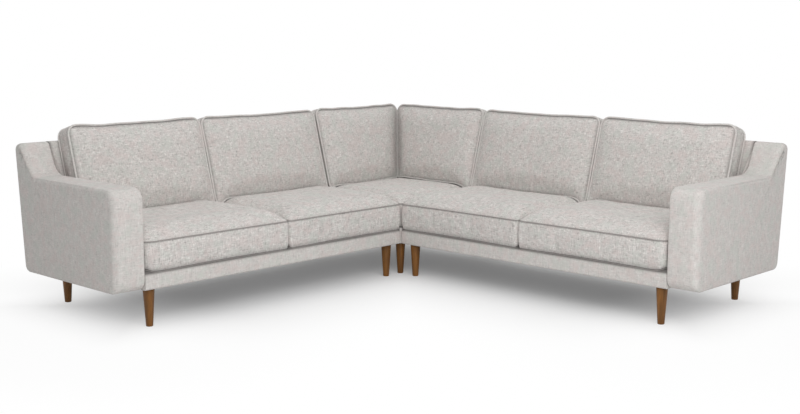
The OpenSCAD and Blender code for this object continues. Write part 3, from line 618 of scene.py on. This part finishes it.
class Wire:
    """A shader value that takes part in arithmetic: each operator adds a Math node."""

    def __init__(self, graph, socket):
        self.graph, self.socket = graph, socket

    def math(self, operation, *values):
        return self.graph.node("Math", {"operation": operation}, dict(enumerate(values)))

    def __add__(self, other):
        return self.math("ADD", self, other)

    def __sub__(self, other):
        return self.math("SUBTRACT", self, other)

    def __mul__(self, other):
        return self.math("MULTIPLY", self, other)

    def __rsub__(self, other):
        return self.math("SUBTRACT", other, self)

    def __pow__(self, other):
        return self.math("POWER", self, other)

    def between(self, low, high):
        """0 below low, 1 above high, and a smooth step between."""
        return self.graph.node("MapRange", {"interpolation_type": "SMOOTHSTEP"},
                               {"Value": self, "From Min": low, "From Max": high}, "Result")


class Graph:
    """The node tree of a material or of the surroundings."""

    def __init__(self, owner):
        self.owner = owner
        owner.use_nodes = True
        self.tree = owner.node_tree
        self.tree.nodes.clear()

    def node(self, kind, settings=None, inputs=None, output=0):
        """Adds a shader node of a kind from its settings and the values or links of its sockets, and
        gives the output that is wanted."""
        new = self.tree.nodes.new("ShaderNode" + kind)
        for key, value in (settings or {}).items():
            setattr(new, key, value)
        for key, value in (inputs or {}).items():
            if isinstance(value, Wire):
                self.tree.links.new(value.socket, new.inputs[key])
            else:
                new.inputs[key].default_value = value
        return Wire(self, new.outputs[output])

    def place(self, scale=(1, 1, 1)):
        """The point on the surface in the object's own frame, scaled."""
        at = self.node("TexCoord", output="Object")
        return self.node("Mapping", inputs={"Vector": at, "Scale": scale})

    def noise(self, vector, scale, detail=2.0, rough=0.5):
        """Noise from 0 to 1."""
        return self.node("TexNoise", inputs={"Vector": vector, "Scale": scale, "Detail": detail,
                                             "Roughness": rough}, output="Fac")

    def mix(self, factor, a, b):
        """A colour between a and b."""
        a, b = (c if isinstance(c, Wire) else (*tuple(c)[:3], 1.0) for c in (a, b))
        return self.node("Mix", {"data_type": "RGBA"}, {0: factor, 6: a, 7: b}, 2)

    def bump(self, strength, distance, height):
        """A normal turned by a relief."""
        return self.node("Bump", inputs={"Strength": strength, "Distance": distance, "Height": height},
                         output="Normal")

    def seen(self):
        """1 where the camera looks, by itself, in a mirror or through glass, and otherwise 0."""
        camera, mirror, glass = (self.node("LightPath", output=f"Is {kind} Ray")
                                 for kind in ("Camera", "Glossy", "Transmission"))
        return camera.math("MAXIMUM", camera, camera.math("MAXIMUM", mirror, glass))

    def surface(self, settings):
        """Ends the tree in a shader with the given sockets."""
        return self.end(self.node("BsdfPrincipled", inputs=settings, output="BSDF"))

    def end(self, shader, kind="Material"):
        """Ends the tree in its output, and returns what the tree belongs to."""
        out = self.tree.nodes.new(f"ShaderNodeOutput{kind}")
        self.tree.links.new(shader.socket, out.inputs["Surface"])
        return self.owner


def material_graph(name):
    """The graph of a new material."""
    return Graph(bpy.data.materials.new(name))


def weave(name, pitch, depth, shade=1.0, contrast=1.0):
    """Heathered upholstery: slubs along and across the cloth, pale, dark, rose and moss flecks, a slow
    drift of tone and a nubby relief. It darkens where the piece's seam attribute says, as painted shade
    in creases, crevices and covered places. A shade over 1 makes it paler, a painted highlight, and one
    under 1 darker, a painted shade."""
    f, g = finish(), material_graph(name)
    even, per = g.place(), 1.0 / pitch
    along = g.noise(g.place((0.22, 0.22, 1.0)), per, 2.0, 0.62)
    across = g.noise(g.place((1.0, 1.0, 0.20)), per * 0.93, 2.0, 0.62)
    nub = g.noise(even, per * 0.62, 1.5, 0.55)
    blot = g.noise(even, per * 0.17, 2.0, 0.5)
    fleck = g.noise(even, per * 0.31, 1.0, 0.4)
    drift = g.noise(even, 3.1, 1.0, 0.5)
    tint = g.noise(even, 17.0, 2.0, 0.6)
    seam = g.node("Attribute", {"attribute_name": "seam"}, output="Fac")
    tone = along * 0.42 + across * 0.42 + nub * 0.16
    base = g.mix((drift - 0.5) * 0.25 + 0.5, [c * 0.975 for c in f.yarn], [c * 1.025 for c in f.yarn])
    layers = [(blot.between(0.42, 0.64) * 0.14, f.yarn_pale),
              (tone.between(0.50, 0.33) * (0.52 * contrast), f.yarn_dark),
              (tone.between(0.50, 0.66) * (0.62 * contrast), f.yarn_pale),
              (fleck.between(0.60, 0.72) * 0.35, f.yarn_rose),
              (tint.between(0.50, 0.66) * 0.34, f.yarn_rose),
              (tint.between(0.50, 0.34) * 0.34, f.yarn_moss),
              # Painted shade: darker where the seam attribute marks creases, crevices and covered places
              (seam * f.painted_crease_shade, [c * 0.25 for c in f.yarn_dark])]
    # A shade over 1 adds painted highlight, and one under 1 adds painted shade
    if shade != 1:
        layers.append((abs(1.0 - shade) * 2, f.yarn_pale if shade > 1 else f.yarn_dark))
    for amount, yarn in layers:
        base = g.mix(amount, base, yarn)
    return g.surface({"Base Color": base, "Roughness": 0.92, "Sheen Weight": 0.12, "Sheen Roughness": 0.5,
                      "Normal": g.bump(0.55, depth, along * 0.5 + across * 0.5), "Specular IOR Level": 0.2})


def timber(name, colour, streak, rough, coat=0.0, stretch=(0.07, 1, 1)):
    """Wood: fine pores and broad figure stretched along the grain, over a slow change of tone."""
    g = material_graph(name)
    grain_place = g.place(stretch)
    figure = g.noise(grain_place, 42.0, 3.0, 0.6)
    pores = g.noise(grain_place, 420.0, 2.0, 0.6)
    drift = g.noise(g.place(), 9.0, 1.0, 0.5)
    grain = figure * 0.62 + pores * 0.25 + drift * 0.13
    dark = [c * (1 - 0.45 * streak) for c in colour]
    pale = [min(1, c * (1 + 0.35 * streak)) for c in colour]
    return g.surface({"Base Color": g.mix(grain.between(0.36, 0.64), dark, pale),
                      "Roughness": (1.0 - figure) * 0.16 + (rough - 0.08),
                      "Normal": g.bump(0.25, 0.0004, pores), "Coat Weight": coat, "Coat Roughness": 0.3,
                      "Specular IOR Level": 0.3})


def plain_cloth(name, colour, pitch):
    """Plain cloth or webbing: two crossed sets of threads."""
    g = material_graph(name)
    at = g.place()
    one, two = (g.node("TexWave", {"bands_direction": axis},
                       {"Vector": at, "Scale": 0.5 / pitch, "Distortion": 0.4}, "Fac") for axis in "XY")
    weft = one * 0.5 + two * 0.5
    base = g.mix(weft, [c * 0.7 for c in colour], [min(1, c * 1.3) for c in colour])
    return g.surface({"Base Color": base, "Roughness": 0.9, "Normal": g.bump(0.3, 0.0005, weft)})


def zinc(name):
    """Zinc-plated steel with a faint mottle."""
    g = material_graph(name)
    spot = g.noise(g.place(), 160.0)
    return g.surface({"Base Color": g.mix(spot, (0.52, 0.53, 0.55), (0.70, 0.71, 0.72)), "Metallic": 1.0,
                      "Roughness": spot * 0.2 + 0.3})


# Operators


class SOFA_OT_materials(bpy.types.Operator):
    """Makes the weave, the woods, the steel and the cloths, and gives each carried-over node its own"""

    bl_idname = "sofa.materials"
    bl_label = "Make materials"

    def execute(self, context):
        f = finish()
        made = {
            "frame_fabric": weave("sofa_weave", f.thread, f.nap, contrast=0.85),
            "cushion_fabric": weave("sofa_cushion_weave", f.thread, f.nap, contrast=1.6),
            "walnut": timber("sofa_walnut", f.walnut, 0.8, 0.45, coat=0.08, stretch=(1, 1, 0.07)),
            "hardwood": timber("sofa_hardwood", (0.56, 0.39, 0.22), 0.5, 0.65),
            "plywood": timber("sofa_plywood", (0.63, 0.48, 0.30), 0.4, 0.7),
            "steel": zinc("sofa_zinc"),
            "webbing": plain_cloth("sofa_webbing", (0.05, 0.05, 0.055), 0.004),
            "deck_cloth": plain_cloth("sofa_felt", (0.20, 0.20, 0.21), 0.003),
            "dust_cloth": plain_cloth("sofa_dust_cloth", (0.03, 0.03, 0.033), 0.003),
        }
        # The back piping is a paler copy of the weave, painted highlight, and the seats' cord a darker copy,
        # painted shade
        for name, shade in (("sofa_piping_painted_highlight", 1.08), ("sofa_seam_painted_shade", 0.5)):
            weave(name, f.thread * 0.8, f.nap * 0.6, shade)
        slots = {part["node"]: part["material_slot"] for part in frame["record"]["subparts"]}
        for node, piece in frame["nodes"].items():
            piece.data.materials.clear()
            piece.data.materials.append(made[slots[node]])
        return {"FINISHED"}


class SOFA_OT_arms(bpy.types.Operator):
    """Upholsters the two arms: a slab with soft edges whose outline sweeps up into the rear wing, and a
    plain seam along the outer edge of the arm's top"""

    bl_idname = "sofa.arms"
    bl_label = "Make arms"

    def execute(self, context):
        s = sizes()
        top, low = ARM_HIGH.z, ARM_LOW.z - s.hem
        rear, padded = s.depth - s.rear_rake, s.depth + 0.006
        foot = s.depth - s.wing_top - (top - s.arm_height) * math.tan(s.wing_lean)
        corners = [(0, low), (rear, low), (padded, top), (s.depth - s.wing_top, top), (foot, s.arm_height),
                   (0, s.arm_height)]
        line, normals = rounded_line(corners, [0.050, 0.035, 0.034, 0.026, 0.095, 0.055])
        y, z, facing_y, facing_z = *line.T, *normals.T
        on_top = ramp(facing_z, 0.9, 0.1) * (z < s.arm_height + 0.01)
        sewn = ramp(y, 0.07, 0.25) * ramp(0.66 - y, 0, 0.05)
        soft = np.clip(0.5 - 0.9 * facing_y, 0, 1) * np.clip(1 + facing_z, 0, 1)
        above = ramp(facing_z, 0.7, 0.3)
        least_edge, outer_edge, top_edge, inner_edge = 0.012, 0.022, 0.006, 0.009
        edge = least_edge + outer_edge * soft * (1 - above) + top_edge * above
        # The seam's share darkens the weave along the seam: painted shade in its groove
        *mesh, near = slab(line, normals, -s.wing_length, -arm_inside(), edge, inner_edge,
                           seam=(0.58, 0.22 * on_top * sewn), swell=0.002, heart=(0.45, 0.38))
        for side in SIDES:
            upholster(mesh, side, f"{side}_arm_cover", near)
        return {"FINISHED"}


class SOFA_OT_backs(bpy.types.Operator):
    """Upholsters the backs of the wings and the two mitred backs of the corner section"""

    bl_idname = "sofa.backs"
    bl_label = "Make backs"

    def outline(self):
        """The leaning back in YZ, from the foot of its inside to its rear."""
        s = sizes()
        top, low, deck = BACK_HIGH.z, BACK_LOW.z - s.hem, RAIL_HIGH.z
        corners = [(back_front(deck), low), (s.depth - s.rear_rake, low), (s.depth, top),
                   (s.depth - s.back_top, top), (back_front(deck), deck)]
        return rounded_line(corners, [0.012, 0.012, 0.024, 0.018, 0.02], arc=10)

    def execute(self, context):
        line, normals = self.outline()
        mesh = slab(line, normals, -arm_inside(), -SECTION_GAP, COVERED_EDGE, END_EDGE, spacing=0.006)[:3]
        # Painted shade along the crevice where the back meets the inside of the arm
        shade = 0.8 * bell(mesh[0][:, 0] + arm_inside(), 0.010)
        for side in SIDES:
            upholster(mesh, side, f"{side}_back_cover", shade)
        corner = self.corner(line, normals)
        upholster(corner, "left", "corner_rear_back_cover")
        upholster(corner, "right", "corner_side_back_cover")
        return {"FINISHED"}

    def corner(self, line, normals):
        """The back of the corner section up to the diagonal: after a soft end and a straight run, the
        outline turns through an eighth of a circle, wide at its rear and tight at its inside."""
        s, tight, wide = sizes(), 0.0003, 0.0400
        y, z = line.T
        inside = back_front(z)
        rear = s.depth - s.rear_rake + (z - BACK_LOW.z) * s.rear_rake / (BACK_HIGH.z - BACK_LOW.z)
        radius = tight + (wide - tight) * ramp(y, inside, rear - inside) ** 2

        def ring(x, outline):
            """The outline at a distance along X."""
            return np.column_stack([np.full(len(outline), x), outline])

        start = [ring(SECTION_GAP + x, line - d * normals) for x, d in soft_edge(END_EDGE)]
        runs = [ring(x, line) for x in np.linspace(0.04, y.min() - 0.002, 20)]
        turned = [np.stack([y - radius + radius * np.sin(a), y - radius + radius * np.cos(a), z], -1)
                  for a in np.linspace(0, math.pi / 4, 12)]
        grid = np.stack(start + runs + turned)
        return capped(grid, grid[0].mean(0), grid[-1].mean(0))


class SOFA_OT_rails(bpy.types.Operator):
    """Upholsters the front rails under the seats, with rounded long edges and a rounded inner end"""

    bl_idname = "sofa.rails"
    bl_label = "Make rails"

    def execute(self, context):
        low, high = RAIL_LOW.z - sizes().hem, RAIL_HIGH.z
        depth = RAIL_HIGH.y - RAIL_LOW.y
        line, normals = rounded_line([(0, low), (depth, low), (depth, high), (0, high)],
                                     [0.010, 0.001, 0.001, 0.022], arc=12, step=0.008)
        mesh = slab(line, normals, -arm_inside(), -SECTION_GAP, COVERED_EDGE, END_EDGE)[:3]
        # Painted shade on the rail's top edge under the seat cushions
        below = np.clip(high - 0.008 - mesh[0][:, 2], 0, None)  # under the seat cushions' shade
        for side in SIDES:
            upholster(mesh, side, f"{side}_rail_cover", bell(below, 0.0075))
        return {"FINISHED"}


class SOFA_OT_legs(bpy.types.Operator):
    """Turns the tapered legs under the three sections, with a rounded foot"""

    bl_idname = "sofa.legs"
    bl_label = "Make legs"

    def execute(self, context):
        for body in ("left_section", "right_section", "corner_section"):
            node = body.replace("section", "legs")
            low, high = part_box(node)
            points, quads, fans = self.leg(high.z - 0.0005)
            legs = [points + np.array([x, y, 0.0]) for x in (low.x + LEG_CAD_RADIUS, high.x - LEG_CAD_RADIUS)
                    for y in (low.y + LEG_CAD_RADIUS, high.y - LEG_CAD_RADIUS)]
            step = len(points) * np.arange(len(legs))[:, None, None]
            make_piece(node.replace("legs", "turned_legs"), np.concatenate(legs),
                       (quads[None] + step).reshape(-1, 4), (fans[None] + step).reshape(-1, 3), body,
                       bpy.data.materials["sofa_walnut"], replaces=(node,), slot="walnut")
        return {"FINISHED"}

    def leg(self, height, sides=40, foot_edge=0.003):
        """A leg turned about the vertical: a quarter circle at the foot and a straight taper above it,
        closed by a pole at each end."""
        s = sizes()
        a = np.linspace(0, math.pi / 2, 6)
        z = np.linspace(foot_edge, height, 10)[1:]
        taper = s.leg_foot + (s.leg_top - s.leg_foot) * (z - foot_edge) / (height - foot_edge)
        radius = np.concatenate([s.leg_foot - foot_edge * (1 - np.sin(a)), taper])
        z = np.concatenate([foot_edge * (1 - np.cos(a)), z])[:, None]
        turn = np.linspace(0, 2 * math.pi, sides, endpoint=False)
        grid = np.stack([radius[:, None] * np.cos(turn), radius[:, None] * np.sin(turn), z + 0 * turn], -1)
        return capped(grid, [0, 0, 0], [0, 0, height])


class SOFA_OT_seat_cushions(bpy.types.Operator):
    """Makes the five seat cushions: boxed, crowned, piped at both seams, and dipped under the back
    cushions that stand on them"""

    bl_idname = "sofa.seat_cushions"
    bl_label = "Make seat cushions"

    def execute(self, context):
        s = sizes()
        place = np.array([0, 0, SEAT_LOW.z])
        room, front, rear = s.piping_room, 0.002, back_front(RAIL_HIGH.z) - s.piping_room
        arm_radius, plain_radius = 0.050, 0.016
        outer = ((-arm_inside() + 0.0045, -s.seat_split - room + 0.002), front, arm_radius)
        inner = ((-s.seat_split + room + 0.002, -room), front, plain_radius)
        jobs = [(f"{side}_{name}_seat_cushion", side, *spec)
                for side in SIDES for name, spec in (("outer", outer), ("inner", inner))]
        jobs.append(("corner_seat_cushion", "left", (room, rear), room, plain_radius))
        for node, side, cell, start, first_radius in jobs:
            corner = node == "corner_seat_cushion"
            shape = seat_shape(cell, start, first_radius, s.corner_crown if corner else s.seat_crown)
            settle = self.settled(cell, start, corner, first_radius == arm_radius)
            # The seats' piping is the dark cord: painted shade in the seam gaps
            points = cushion_piece(node, "pad", side, shape, np.eye(3), place, cushion_rng(node), settle,
                                   0.003, (s.seat_piping, 0.0002, "sofa_seam_painted_shade"))
            nu, nv = (len(c) for c in shape["counts"])
            SEAT_TOPS[node] = points[nu * nv:2 * nu * nv].reshape(nu, nv, 3) + place
        return {"FINISHED"}

    def settled(self, cell, front, corner, by_arm):
        """Shapes a seat. The back cushions press it down along a smooth step towards the back, and
        towards both backs in the corner. The underside lies flat on the deck and its front edge droops
        over the rounded rail along a square. The lower seam is drawn in towards the middle of the seat,
        and lifts along a Gaussian at a corner by an arm. Painted shade darkens the top where the back
        cushions cover it, the lower seam and the foot of the band, and the band beside an arm. The sides
        stay within the room of the seat."""
        s, rear, seat_top, pressed, dip = sizes(), back_front(RAIL_HIGH.z), 0.415, 0.05, 0.0025
        draw_in, droop_depth, droop_reach, lift, lift_reach = 0.0018, 0.0115, 0.022, 0.004, 0.05
        room = s.piping_room - 0.0006
        low_side = np.array([cell[0] - (0.0035 if by_arm else room), front - (room if corner else 0.007)])
        high_side = np.array([cell[1] + room, rear - 0.0006])
        line = cushion_front(seat_top)
        middle = np.array([(cell[0] + cell[1]) / 2, (front + rear) / 2])
        reach = np.array([(cell[1] - cell[0]) / 2, (rear - front) / 2])

        def step(x):
            """Smooth step from 0 to 1 that ends at the front of the back cushions."""
            t = ramp(x, line - pressed, pressed)
            return t * t * (3 - 2 * t)

        def apply(points, near):
            x, y, z = points.T
            moved, height = points.copy(), z / s.seat_boxing
            share = np.maximum(step(y), step(x)) if corner else step(y)
            over, under = np.clip(height - 1, 0, None) * s.seat_boxing, np.clip(1 - height, 0, 1)
            low = under ** 5
            moved[:, 2] = np.maximum(z, 0) - share * np.minimum(over, dip)
            moved[:, :2] -= draw_in * low[:, None] * (points[:, :2] - middle) / reach
            moved[:, :2] = np.clip(moved[:, :2], low_side, high_side)
            droop = np.clip(1 - (moved[:, 1] - front) / droop_reach, 0, 1) ** 2 * (not corner)
            moved[:, 2] -= droop_depth * droop * under ** 1.5
            # Painted shade by the lower seam and at the foot of the band, over the rail
            near = np.maximum(near * (1 + 1.6 * low), 0.6 * bell(height * s.seat_boxing, 0.016))
            # Painted shade on the top where the back cushions cover it
            deep = np.maximum(y, x * corner)
            near = np.maximum(near, 0.95 * (ramp(deep - line, -0.030, 0.014) * ramp(height, 0.9, 0.1)))
            if by_arm:
                away = np.linalg.norm(points[:, :2] - [cell[0], front], axis=1)
                moved[:, 2] += lift * bell(away, lift_reach) * under
                # Painted shade on the band beside the arm
                band = ramp(s.seat_boxing - z, 0, 0.004)
                near = np.maximum(near, 0.9 * band * bell(x - cell[0], 0.006))
            return moved, np.minimum(1, near)

        return apply


SEAT_TOPS = {}


def seat_height(side, x, y):
    """Height of the seats' tops at points in section coordinates, between the grid points of the
    cushion that lies there. Its grid is close to square to the axes, so each axis is read by itself."""
    node = np.where(x < -sizes().seat_split, f"{side}_outer_seat_cushion",
                    np.where(x < 0, f"{side}_inner_seat_cushion", "corner_seat_cushion"))
    height = np.zeros(len(x))
    for name in np.unique(node):
        if name not in SEAT_TOPS:
            raise RuntimeError("The seat cushions are made before the back cushions")
        here, grid = node == name, SEAT_TOPS[name]
        px, py = (y[here], x[here]) if name.startswith("corner") and side == "right" else (x[here], y[here])
        nu, nv = grid.shape[:2]
        iu = np.interp(px, grid[:, nv // 2, 0], np.arange(nu))
        iv = np.interp(py, grid[nu // 2, :, 1], np.arange(nv))
        a, b = np.minimum(iu.astype(int), nu - 2), np.minimum(iv.astype(int), nv - 2)
        fu, fv, z = iu - a, iv - b, grid[..., 2]
        height[here] = ((1 - fu) * (1 - fv) * z[a, b] + fu * (1 - fv) * z[a + 1, b]
                        + (1 - fu) * fv * z[a, b + 1] + fu * fv * z[a + 1, b + 1])
    return height


class SOFA_OT_back_cushions(bpy.types.Operator):
    """Makes the six back cushions: boxed, soft-faced, piped round both faces, leaning on the backs"""

    bl_idname = "sofa.back_cushions"
    bl_label = "Make back cushions"

    def execute(self, context):
        s = sizes()
        stand = s.piping_radius + s.proud
        room, axes = stand + 0.0004, leaning_axes(s.back_lean)
        sunk = {"left_outer_back_cushion": 0.0085, "right_outer_back_cushion": 0.0050,
                "left_inner_back_cushion": 0.0055, "right_inner_back_cushion": 0.0040}
        placing = {"left": (0.0045, -0.0115, 0.001), "right": (0.0, -0.010, -0.008)}
        for side, (parted, split_shift, corner_shift) in placing.items():
            spans = {
                f"{side}_outer_back_cushion": (-arm_inside() + s.arm_clear,
                                               -s.seat_split - room + split_shift),
                f"{side}_inner_back_cushion": (-s.seat_split + room + split_shift,
                                               -room - parted + corner_shift),
                f"corner_{side}_back_cushion": (room + parted + corner_shift, None),
            }
            for node, (x0, x1) in spans.items():
                mitre = x1 is None
                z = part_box(node)[0].z + s.back_boxing * math.sin(s.back_lean) + 0.001
                y = cushion_front(z)
                end = y - room if mitre else x1
                rng = cushion_rng(node)
                draws = (s.foot_arch, rng.uniform(0.001, 0.0025), rng.uniform(0.004, 0.007),
                         rng.uniform(0.001, 0.0025))
                shape = back_shape(x0, end, mitre, draws, sunk.get(node, 0.0))
                place = np.array([0, y + s.back_boxing * math.cos(s.back_lean),
                                  z - s.back_boxing * math.sin(s.back_lean)])
                settle = self.settled(side, node, axes, place, x0, end, stand, rng)
                # The back piping is the pale copy of the weave: painted highlight on the cord
                cushion_piece(node, "pillow", side, shape, axes, place, rng, settle, 0.006,
                              (s.piping_radius, s.proud, "sofa_piping_painted_highlight"))
        return {"FINISHED"}

    def settled(self, side, node, axes, place, x0, x1, stand, rng):
        """Shapes a back cushion. Its foot follows the seat under it, down by a limited drop at the front
        and less towards the rear, and always clear of it. Its top edge waves along a few seeded sines and
        dips where it is pinched, near its outer end. Its sides and its rear stay within their room, and
        a mitred one keeps its rear in the corner section and stays on its own side of the diagonal."""
        s, outer, mitred = sizes(), "outer" in node, node.startswith("corner")
        room_side, room_behind, arc_room = stand - 0.0002, 0.0100, 0.022
        foot_room, foot_swell, most_up, most_down = 0.0056 if outer else 0.0040, 0.0045, 0.03, 0.018
        foot_reach, top_reach, hang_by, wave_size = 0.11, 0.12, 0.006, 0.0010
        pinch = 0.004 if outer else 0.001
        kept = max(0.0, stand + 0.0007 - x0) if mitred else 0.0
        # Strength and spread of the painted shade beside the corner's diagonal
        strength, spread = (0.40, 0.055) if side == "left" else (0.15, 0.030)
        waves = [(k, rng.uniform(0, 2 * math.pi), rng.uniform(0.5, 1.0)) for k in (1.5, 2.5, 4.0)]

        def apply(points, near):
            x, up, out = points.T
            x = np.clip(x, x0 - (0.012 if outer else room_side), np.inf if mitred else x1 + room_side)
            out = np.maximum(out, -room_behind)
            front = out.clip(0, s.back_boxing) / s.back_boxing
            bulge = np.sin(math.pi * front)
            x = x + kept * np.clip(1 - (x - x0) / 0.1, 0, 1) * (1 - front)
            along = (x - x0) / (x1 - x0)
            t = ramp(x - x0, arc_room, x1 - x0 - 2 * arc_room)
            base = s.foot_arch * 4 * t * (1 - t)
            foot = to_section(np.stack([x, base, out], -1), axes, place)
            room = foot[:, 2] - seat_height(side, foot[:, 0], foot[:, 1])
            room -= stand + foot_room + foot_swell * bulge
            behind = ramp(foot[:, 1] - back_front(RAIL_HIGH.z), -0.004, 0.012)
            room = np.clip(room, -most_up, most_down * front ** 2) * (1 - behind)
            hang = hang_by * np.sqrt(np.clip(bulge, 0, 1))
            moved = np.stack([x, np.where(t * (1 - t) > 0, np.maximum(up, base - hang), up), out], -1)
            moved[:, 1] -= room / math.cos(s.back_lean) * np.clip(1 - (up - base) / foot_reach, 0, 1.05) ** 2
            wave = sum(a * np.sin(k * 2 * math.pi * along + phase) for k, phase, a in waves) * wave_size
            high = np.clip((up - s.back_face + top_reach) / top_reach, 0, 1.1) ** 2
            moved[:, 1] += (wave - pinch * bell(along - 0.24, 0.10)) * high
            if mitred:
                at = to_section(moved, axes, place)
                past = np.clip(at[:, 0] - at[:, 1] + 0.0012, 0, None) / 2
                # Painted shade on both sides of the corner's diagonal
                near = np.maximum(near, strength * bell(at[:, 1] - at[:, 0], spread))
                moved = (at + past[:, None] * np.array([-1, 1, 0]) - place) @ axes
            # Painted shade on the underside of the band at the foot, over the seat
            under = np.clip(1 - up / 0.045, 0, 1) * bulge
            return moved, np.maximum(near, 0.9 * np.minimum(2.5 * under, 1))

        return apply


def aimed(right, up, ahead, place):
    """Matrix of a camera or a lamp, which looks along its own negative Z."""
    return Matrix([[right[k], up[k], -ahead[k], place[k]] for k in range(3)] + [[0, 0, 0, 1]])


class SOFA_OT_stage(bpy.types.Operator):
    """Sets the camera, the floor, the lamps and the plain white surroundings"""

    bl_idname = "sofa.stage"
    bl_label = "Set stage"

    def execute(self, context):
        scene, stage = context.scene, context.scene.sofa_stage
        scene.view_settings.view_transform = "Standard"
        self.camera(stage)
        self.floor(stage)
        self.lamp("front_light", stage.front, 2.6, (-2.6, -2.6, 2.8), (0.3, 0.3, 0.3))
        self.lamp("key_light", stage.key, 2.6, (-1.3, -3.6, 2.4), (0.2, 0.0, 0.4))
        self.lamp("top_light", stage.top, 4.0, (-0.1, -0.1, 3.8), (-0.1, -0.1, 0.0))
        self.lamp("rear_light", stage.rear, 3.4, (1.6, 1.6, 3.6), (0.3, 0.3, 0.3))
        g = Graph(bpy.data.worlds.new("surroundings"))
        sky = g.node("Background", inputs={"Color": WHITE, "Strength": stage.sky})
        plain = g.node("Background", inputs={"Color": WHITE})
        scene.world = g.end(g.node("MixShader", inputs={0: g.seen(), 1: sky, 2: plain}), "World")
        return {"FINISHED"}

    def camera(self, stage):
        """A camera that looks along its heading, down by its pitch and turned by its roll."""
        ahead = np.array([math.cos(stage.heading) * math.cos(stage.pitch),
                          math.sin(stage.heading) * math.cos(stage.pitch), -math.sin(stage.pitch)])
        right = np.array([math.sin(stage.heading), -math.cos(stage.heading), 0.0])
        up = np.cross(right, ahead)
        c, s = math.cos(stage.roll), math.sin(stage.roll)
        data = bpy.data.cameras.new("camera")
        data.lens, data.sensor_width, data.clip_end = stage.lens, 36.0, 100.0
        camera = bpy.data.objects.new("camera", data)
        camera.matrix_world = aimed(c * right + s * up, c * up - s * right, ahead, stage.camera)
        bpy.context.scene.collection.objects.link(camera)
        bpy.context.scene.camera = camera

    def floor(self, stage):
        """A wide floor: the camera sees part of it as plain white, so it stays pale and keeps shadows. The
        share of white grows with the signed distance from the two wings' footprints, in one way by the
        seats and in another by the arms, and is whole far away. Less white near and under the sofa is a
        painted shadow on top of the real one."""
        g = material_graph("studio_floor")
        path = g.seen()
        at = g.node("TexCoord", output="Object")
        x, y = (g.node("SeparateXYZ", inputs={0: at}, output=axis) for axis in "XY")
        far, near = corner_offset() + sizes().depth, corner_offset()

        def beyond(value, low, high):
            """How far a coordinate lies outside a range, or inside it as a negative number."""
            return value.math("MAXIMUM", low - value, value - high)

        def outside(dx, dy):
            """Signed distance from a rectangle."""
            positive = x.math("SQRT", x.math("MAXIMUM", dx, 0.0) ** 2.0 + x.math("MAXIMUM", dy, 0.0) ** 2.0)
            return positive + x.math("MINIMUM", x.math("MAXIMUM", dx, dy), 0.0)

        away = x.math("MINIMUM", outside(beyond(x, -far, far), beyond(y, near, far)),
                      outside(beyond(x, near, far), beyond(y, -far, far)))
        ends = x.math("MAXIMUM", 0.0 - x, 0.0 - y).between(0.55, 1.25)
        # Less white near and under the footprints paints a shadow on the floor
        bay = away.between(-0.28, 0.70) * (0.96 - stage.floor_glow) + stage.floor_glow
        by_arm = away.between(-0.32, 0.22) * (0.94 - stage.floor_glow_ends) + stage.floor_glow_ends
        white = bay * (1.0 - ends) + by_arm * ends + away.between(0.5, 1.1) * 0.06
        share = path * x.math("MINIMUM", white, 1.0)
        paint = g.node("BsdfDiffuse", inputs={"Color": (0.86, 0.86, 0.86, 1.0)})
        glow = g.node("Emission", inputs={"Color": WHITE, "Strength": 1.0})
        material = g.end(g.node("MixShader", inputs={0: share, 1: paint, 2: glow}))
        half = 30.0
        corners = np.array([[-half, -half, 0], [half, -half, 0], [half, half, 0], [-half, half, 0]])
        floor = make_piece("studio_floor", corners, [[0, 1, 2, 3]], [], None, material, smooth=False)

    def lamp(self, name, power, size, place, target):
        """A square area lamp that looks at its target."""
        data = bpy.data.lights.new(name, "AREA")
        data.shape, data.size, data.energy = "SQUARE", size, power
        lamp = bpy.data.objects.new(name, data)
        lamp.visible_camera = False
        ahead = unit(np.array(target, float) - np.array(place, float))
        side = np.cross(ahead, [0.0, 0.0, 1.0])
        side = unit(side) if np.linalg.norm(side) > 1e-3 else np.array([1.0, 0.0, 0.0])
        lamp.matrix_world = aimed(side, np.cross(side, ahead), ahead, place)
        bpy.context.scene.collection.objects.link(lamp)


class SOFA_PT_panel(bpy.types.Panel):
    """Lists the steps and the sizes in the sidebar"""

    bl_idname = "SOFA_PT_panel"
    bl_label = "Sectional sofa"
    bl_space_type = "VIEW_3D"
    bl_region_type = "UI"
    bl_category = "Sofa"

    def draw(self, context):
        for group in (context.scene.sofa_sizes, context.scene.sofa_finish, context.scene.sofa_stage):
            box = self.layout.box()
            for key in group.bl_rna.properties.keys():
                if key not in ("rna_type", "name"):
                    box.prop(group, key)
        for operator in OPERATORS:
            self.layout.operator(operator.bl_idname)


OPERATORS = (SOFA_OT_materials, SOFA_OT_arms, SOFA_OT_backs, SOFA_OT_rails, SOFA_OT_legs,
             SOFA_OT_seat_cushions, SOFA_OT_back_cushions, SOFA_OT_stage)
CLASSES = (SofaSizes, SofaFinish, SofaStage, *OPERATORS, SOFA_PT_panel)


def register():
    for cls in CLASSES:
        bpy.utils.register_class(cls)
    bpy.types.Scene.sofa_sizes = bpy.props.PointerProperty(type=SofaSizes)
    bpy.types.Scene.sofa_finish = bpy.props.PointerProperty(type=SofaFinish)
    bpy.types.Scene.sofa_stage = bpy.props.PointerProperty(type=SofaStage)


def unregister():
    del bpy.types.Scene.sofa_stage, bpy.types.Scene.sofa_finish, bpy.types.Scene.sofa_sizes
    for cls in reversed(CLASSES):
        bpy.utils.unregister_class(cls)


def main():
    """Registers the add-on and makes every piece."""
    register()
    bpy.ops.sofa.materials()
    bpy.ops.sofa.arms()
    bpy.ops.sofa.backs()
    bpy.ops.sofa.rails()
    bpy.ops.sofa.legs()
    bpy.ops.sofa.seat_cushions()
    bpy.ops.sofa.back_cushions()
    bpy.ops.sofa.stage()
    bpy.context.view_layer.update()


if __name__ == "__main__":
    main()
